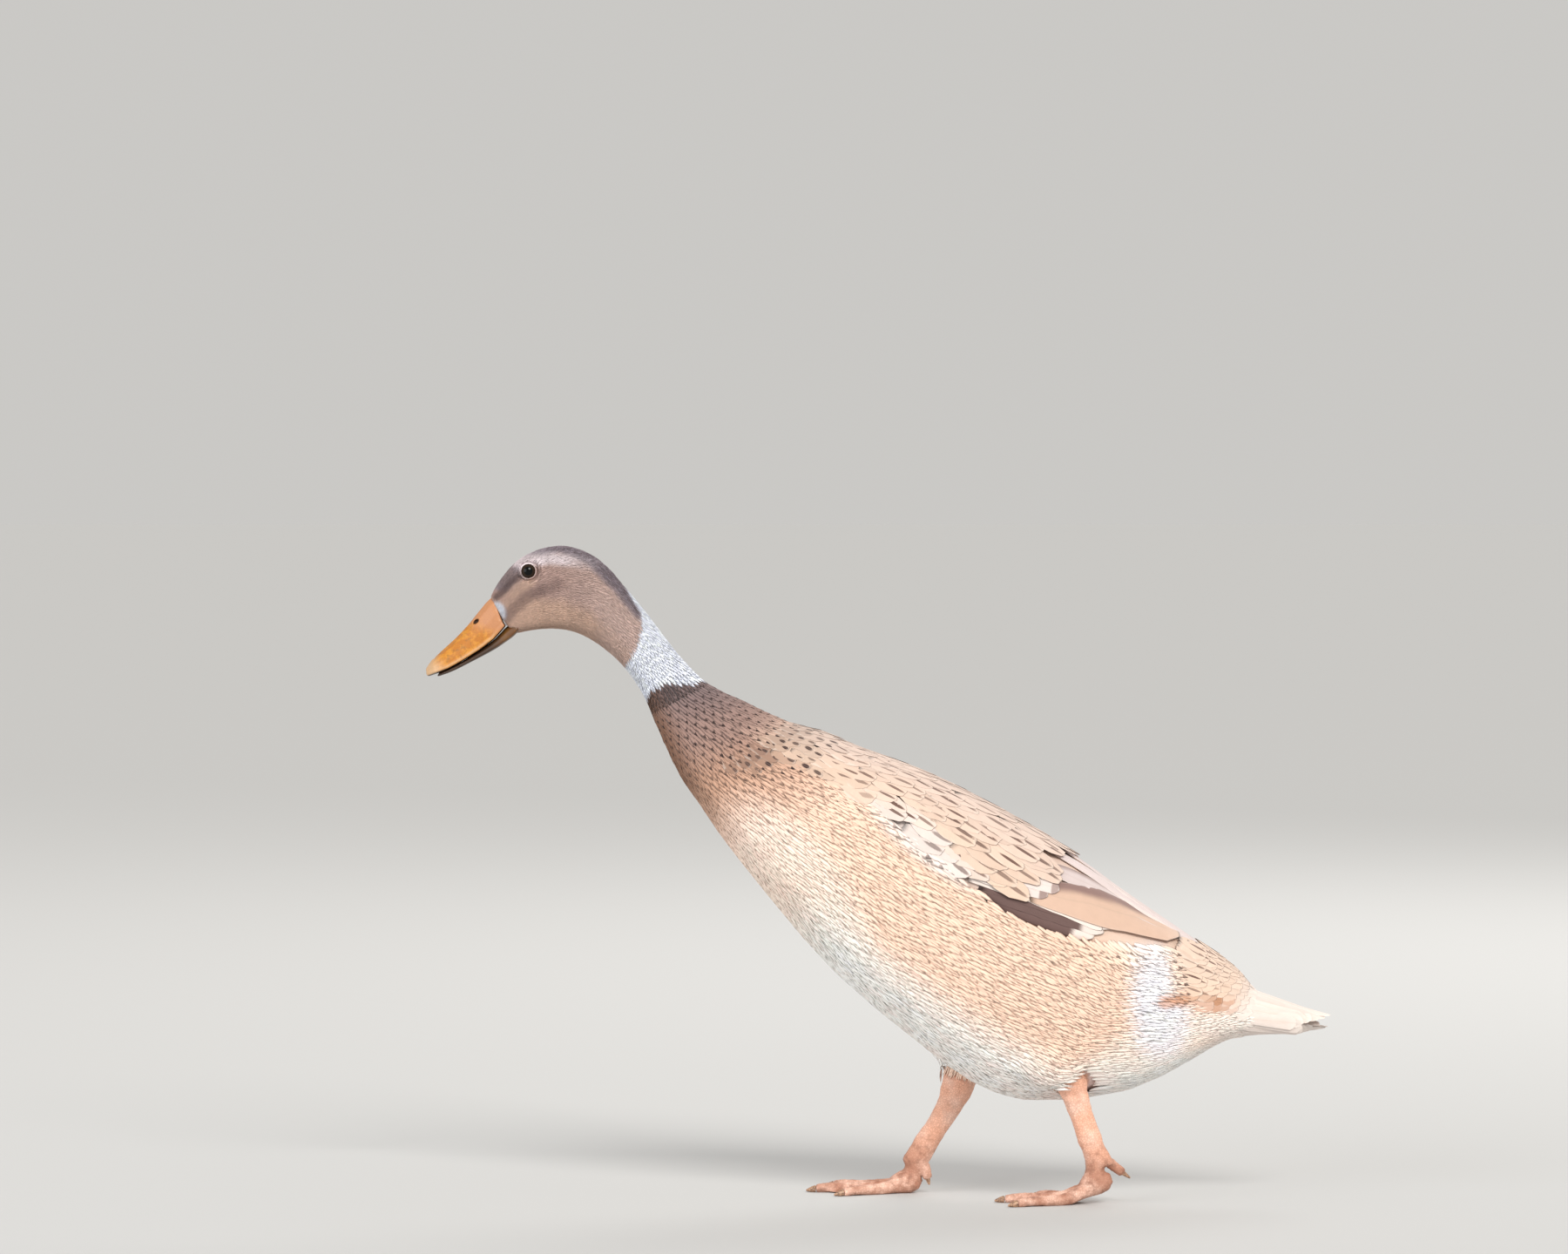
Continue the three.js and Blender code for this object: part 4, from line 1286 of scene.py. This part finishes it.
# Small feathers that close round the top of each leg and lie down along it
cuff = {"rows": 13, "around": 42, "length": 10, "half": 1.2, "from": -0.45, "to": 0.44,
        "near": 13.5, "far": 24}
grown = []
for leg in legAxes.values():
    a, b = Vector(leg["knee"]) * mm, Vector(leg["hock"]) * mm
    down = (b - a).normalized()
    across = down.cross(Vector((0, 1, 0))).normalized()
    outside = math.copysign(1, a.y)
    for row in range(cuff["rows"]):
        share = cuff["from"] + (cuff["to"] - cuff["from"]) * row / (cuff["rows"] - 1)
        start = a + (b - a) * share
        for k in range(cuff["around"]):
            angle = 2 * math.pi * (k + 0.5 * (row % 2) + 0.3 * rng.random()) / cuff["around"]
            way = across * math.cos(angle) + down.cross(across) * math.sin(angle)
            p, n, _, far = groundSkin.ray_cast(start, way)
            reach = cuff["far"] if way.y * outside > 0.1 else cuff["near"]
            if p is None or far > reach * mm or n.dot(way) < 0.2:
                continue
            lie = (down - n * down.dot(n)).normalized()
            at, turned = bodyPlace(np.array([tuple(p)]))
            grown.append({"place": p, "out": n, "lie": lie, "length": cuff["length"],
                          "half": cuff["half"], "run": at[0], "chance": rng.random(),
                          "angle": math.radians(turned[0]) * (1 if p.y > 0 else -1),
                          "tint": paint["peach"]})
cuffCoat = coatFrom(grown, len(shapes["tuft"].objects), True, True)
cuffCoat["heights"] = [(0.2 * mm, 0.9 * mm, 0.0)] * len(grown)
layPiece("coatCuffs", cuffCoat, "tuft", plumageCoat)

# Wing and tail feathers
print("quills")


# Where the skin is seen at x, z in mm from that side of the bird
def sideHit(x, z, side):
    for lower in range(14):
        start = Vector((x, side * 200, z - lower)) * mm
        p, n, _, _ = groundSkin.ray_cast(start, Vector((0, -side, 0)))
        if p is not None:
            return p, n


# Each feather: root and tip [x, z], half width, height of root and tip over the skin, all mm;
# colour, mark (strength, half width, start), edge (pale rim, dark upper edge)
wingFeathers = [
    # Primaries, white, folded along the lower edge
    ((96, 192), (206, 168), 5.5, 0.7, 0.9, "tailCream", (0, 0.3, 0.5), (0.1, 0)),
    ((92, 196), (201, 170.5), 5.5, 0.8, 1.0, "tailCream", (0, 0.3, 0.5), (0.1, 0)),
    # Secondaries: dark bar with a white end, the white line above it
    ((60, 201), (136, 173), 5.6, 1.1, 1.4, "tailCream", (1, 2.6, -1.0), (0, 0)),
    ((62, 203.5), (142, 175), 5.6, 1.25, 1.55, "tailCream", (1, 2.6, -1.0), (0, 0)),
    ((64, 206.5), (148, 177.5), 5.6, 1.4, 1.7, "tailCream", (1, 2.6, -1.0), (0, 0)),
    ((78, 204.5), (141, 176.5), 3.6, 1.6, 1.9, "tailCream", (0, 0.3, 0.5), (0, 0)),
    ((56, 210), (118, 189), 3.0, 1.7, 2.0, "tailCream", (0, 0.3, 0.5), (0, 0)),
    # Long inner feathers over the folded wing
    ((112, 230), (213, 165.5), 7.5, 1.2, 1.6, "lilac", (0, 0.3, 0.5), (0.35, 0)),
    ((108, 226), (208, 167), 7.5, 1.4, 1.8, "lilac", (0, 0.3, 0.5), (0.35, -0.5)),
    ((100, 218), (202, 169), 8.5, 1.6, 2.0, "lilac", (0.1, 0.2, 0.3), (0.35, -0.9)),
    ((95, 201), (191, 170), 13.4, 2.0, 2.6, "tertial", (0, 0.3, 0.5), (0.1, -1.3)),
    # Coverts whose brown tips close over the roots
    ((66, 211.5), (106, 198.5), 5.2, 2.3, 2.9, "covert", (0.8, 1.9, 0.84), (0, 0)),
    ((72, 214), (113, 201.5), 5.2, 2.4, 3.0, "covert", (0.7, 1.9, 0.86), (0, 0)),
    ((50, 217), (86, 204.5), 5.2, 2.3, 2.9, "covert", (0.15, 0.6, 0.7), (0.2, 0)),
]


def quillCoatOf(feathers, side):
    coat = newCoat()
    for i, (root, tip, half, low, high, tint, mark, rim) in enumerate(feathers):
        p, n = sideHit(*root, side)
        q, m = sideHit(*tip, side)
        _, between = sideHit((root[0] + tip[0]) / 2, (root[1] + tip[1]) / 2, side)
        at, turned = bodyPlace(np.array([tuple(p)]))
        addFeather(
            coat, place=p, out=(n + m + 4 * between).normalized(), lie=(q - p).normalized(),
            sizes=(half * mm, (q - p).length * 1.01, mm),
            heights=(low * mm, (high - low) * mm, 0.02 * half * mm), free=0.0,
            shape=i % len(shapes["quill"].objects), tint=paint[tint],
            markTint=paint["speculum" if mark[1] > 2 else "edgeBrown"], mark=mark,
            rim=(rim[0], -side * rim[1], 0.37 * i % 1),
            rootMap=unrolled(at[0], side * math.radians(turned[0])))
    return coat


for sideName, side in (("left", -1), ("right", 1)):
    piece = layPiece("quillsWing_" + sideName, quillCoatOf(wingFeathers, side), "quill", quillCoat)

# Tail feathers fan over the tail's own skin and carry on beyond its end
tailPlan = {"rows": [(27, 173, 0, 0.0), (19, 130, 4, 0.35)], "fromRun": runAt["tailRoot"] - 1,
            "half": 5.6, "end": (290.2, 111.3), "wide": 17, "round": 20, "high": 3.0}
coat = newCoat()
for count, spread, shorter, lifted in tailPlan["rows"]:
    for k in range(count):
        share = 2 * k / (count - 1) - 1
        angle = math.radians(share * spread)
        p, n = onSkin(tailPlan["fromRun"] - shorter, angle)
        sideways, upwards = math.sin(angle), math.cos(angle)
        back = tailPlan["round"] * sideways * sideways + shorter
        rising = (tailPlan["high"] + 0.14 * back) * upwards
        tip = Vector((tailPlan["end"][0] - back, tailPlan["wide"] * sideways,
                      tailPlan["end"][1] + 0.12 * back + rising)) * mm
        sunk = 0.3 * (1 - abs(share))
        rise = 0.3 + lifted + sunk
        addFeather(
            coat, place=p, out=(n + Vector((0, sideways, upwards)) * 1.5).normalized(),
            lie=(tip - p).normalized(), sizes=(tailPlan["half"] * mm, (tip - p).length, mm),
            heights=(rise * mm, -(rise - sunk) * mm, 0.1 * mm), free=1.0, shape=k % 3,
            tint=paint["tailCream"] * (0.96 + 0.04 * (k % 2)), markTint=paint["fawn"],
            mark=(0.12, 0.5, 0.1), rim=(0.4, 0.0, 0.31 * (k + 7) % 1),
            rootMap=unrolled(tailPlan["fromRun"], angle))
layPiece("quillsTail", coat, "quill", quillCoat)

# Eyes
print("eyes")


def eyeMaterial():
    material, t = shaderNodes("eyeBall", 0.05)
    streaks = t.noisy(t.coordinates, 900)
    pupil = t.ramp(t.add(t.attribute("gaze", "Fac"), t.mul(streaks, 0.03)), 0.50, 0.56)
    t.coloured(t.mixed(pupil, (0.002, 0.002, 0.002), (0.022, 0.012, 0.007)))
    t.shader.inputs["IOR"].default_value = 1.34
    t.shader.inputs["Specular IOR Level"].default_value = 0.32
    return material


eyeCoat = eyeMaterial()
for sideName, side in (("left", -1), ("right", 1)):
    axis = eyeAxis(side)
    work = bmesh.new()
    bmesh.ops.create_uvsphere(work, u_segments=48, v_segments=32, radius=eye["radius"] * mm)
    turn = Vector((0, 0, 1)).rotation_difference(axis)
    gaze = work.verts.layers.float.new("gaze")
    for v in work.verts:
        v.co = turn @ v.co
        v[gaze] = v.co.angle(axis)
        v.co += eyeCentre(side)
    mesh = bpy.data.meshes.new("eyeball_" + sideName)
    work.to_mesh(mesh)
    work.free()
    ball = addObject("eyeball_" + sideName, mesh)
    dress(ball, eyeCoat)
    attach(ball, "root")
    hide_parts("eye_" + sideName)


# Claws
def clawMaterial():
    material, t = shaderNodes("clawHorn", 0.45)
    mottle = t.noisy(t.coordinates, 900)
    t.coloured(t.mixed(t.ramp(mottle, 0.3, 0.7), linear(188, 148, 118), linear(112, 84, 68)))
    t.bump(mottle, 0.2, 0.0001)
    return material


clawHorn = clawMaterial()
clawVoxel = 0.35 * mm
for sideName in ("left", "right"):
    for toe in ("inner", "middle", "outer", "hind"):
        node = f"claw_{toe}_{sideName}"
        piece = remeshed(joinedNodes(node + "Work", [node]), clawVoxel, 3)
        piece.name = "nail_" + node
        for vertex in piece.data.vertices:
            vertex.co.z = max(vertex.co.z, 0)
        dress(piece, clawHorn)
        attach(piece, "root")
        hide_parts(node)

bpy.data.objects.remove(ground)

# Studio
print("studio")
bpy.ops.mesh.primitive_plane_add(size=60, location=(0, 0, 0))
floor = bpy.context.object
floor.name = "floor"
floorMaterial, t = shaderNodes("floorPaper", 0.9)
t.shader.inputs["Base Color"].default_value = (0.547, 0.5485, 0.5485, 1)
floor.data.materials.append(floorMaterial)

lights = {
    "key": {"kind": "SUN", "place": (1.1, -2.9, 2.5), "power": 2.5, "colour": (1, 0.97, 0.92)},
    "fill": {"kind": "AREA", "place": (-2.6, -2.4, 1.2), "size": 2.4, "power": 48,
             "colour": (0.94, 0.97, 1)},
    "back": {"kind": "AREA", "place": (1.2, 2.4, 2.2), "size": 1.8, "power": 34,
             "colour": (1, 0.98, 0.95)},
}
aim = Vector((-0.02, 0, 0.22))
for name, plan in lights.items():
    data = bpy.data.lights.new(name, plan["kind"])
    if plan["kind"] == "SUN":
        data.angle = math.radians(26)
    else:
        data.size = plan["size"]
    data.energy = plan["power"]
    data.color = plan["colour"]
    lamp = bpy.data.objects.new(name, data)
    lamp.location = plan["place"]
    lamp.rotation_euler = (aim - lamp.location).to_track_quat("-Z", "Y").to_euler()
    bpy.context.scene.collection.objects.link(lamp)

world = bpy.data.worlds.new("studio")
bpy.context.scene.world = world
world.use_nodes = True
world.node_tree.nodes["Background"].inputs["Color"].default_value = (0.955, 0.938, 0.905, 1)
world.node_tree.nodes["Background"].inputs["Strength"].default_value = 0.62

cameraPlan = {"place": (-0.0613, -4.5, 0.5), "aim": (-0.0613, 0, 0.3685), "lens": 160.7}
cameraData = bpy.data.cameras.new("camera")
cameraData.lens = cameraPlan["lens"]
cameraData.sensor_width = 36
camera = bpy.data.objects.new("camera", cameraData)
camera.location = cameraPlan["place"]
look = Vector(cameraPlan["aim"]) - camera.location
camera.rotation_euler = look.to_track_quat("-Z", "Y").to_euler()
bpy.context.scene.collection.objects.link(camera)
bpy.context.scene.camera = camera
bpy.context.scene.view_settings.view_transform = "Standard"
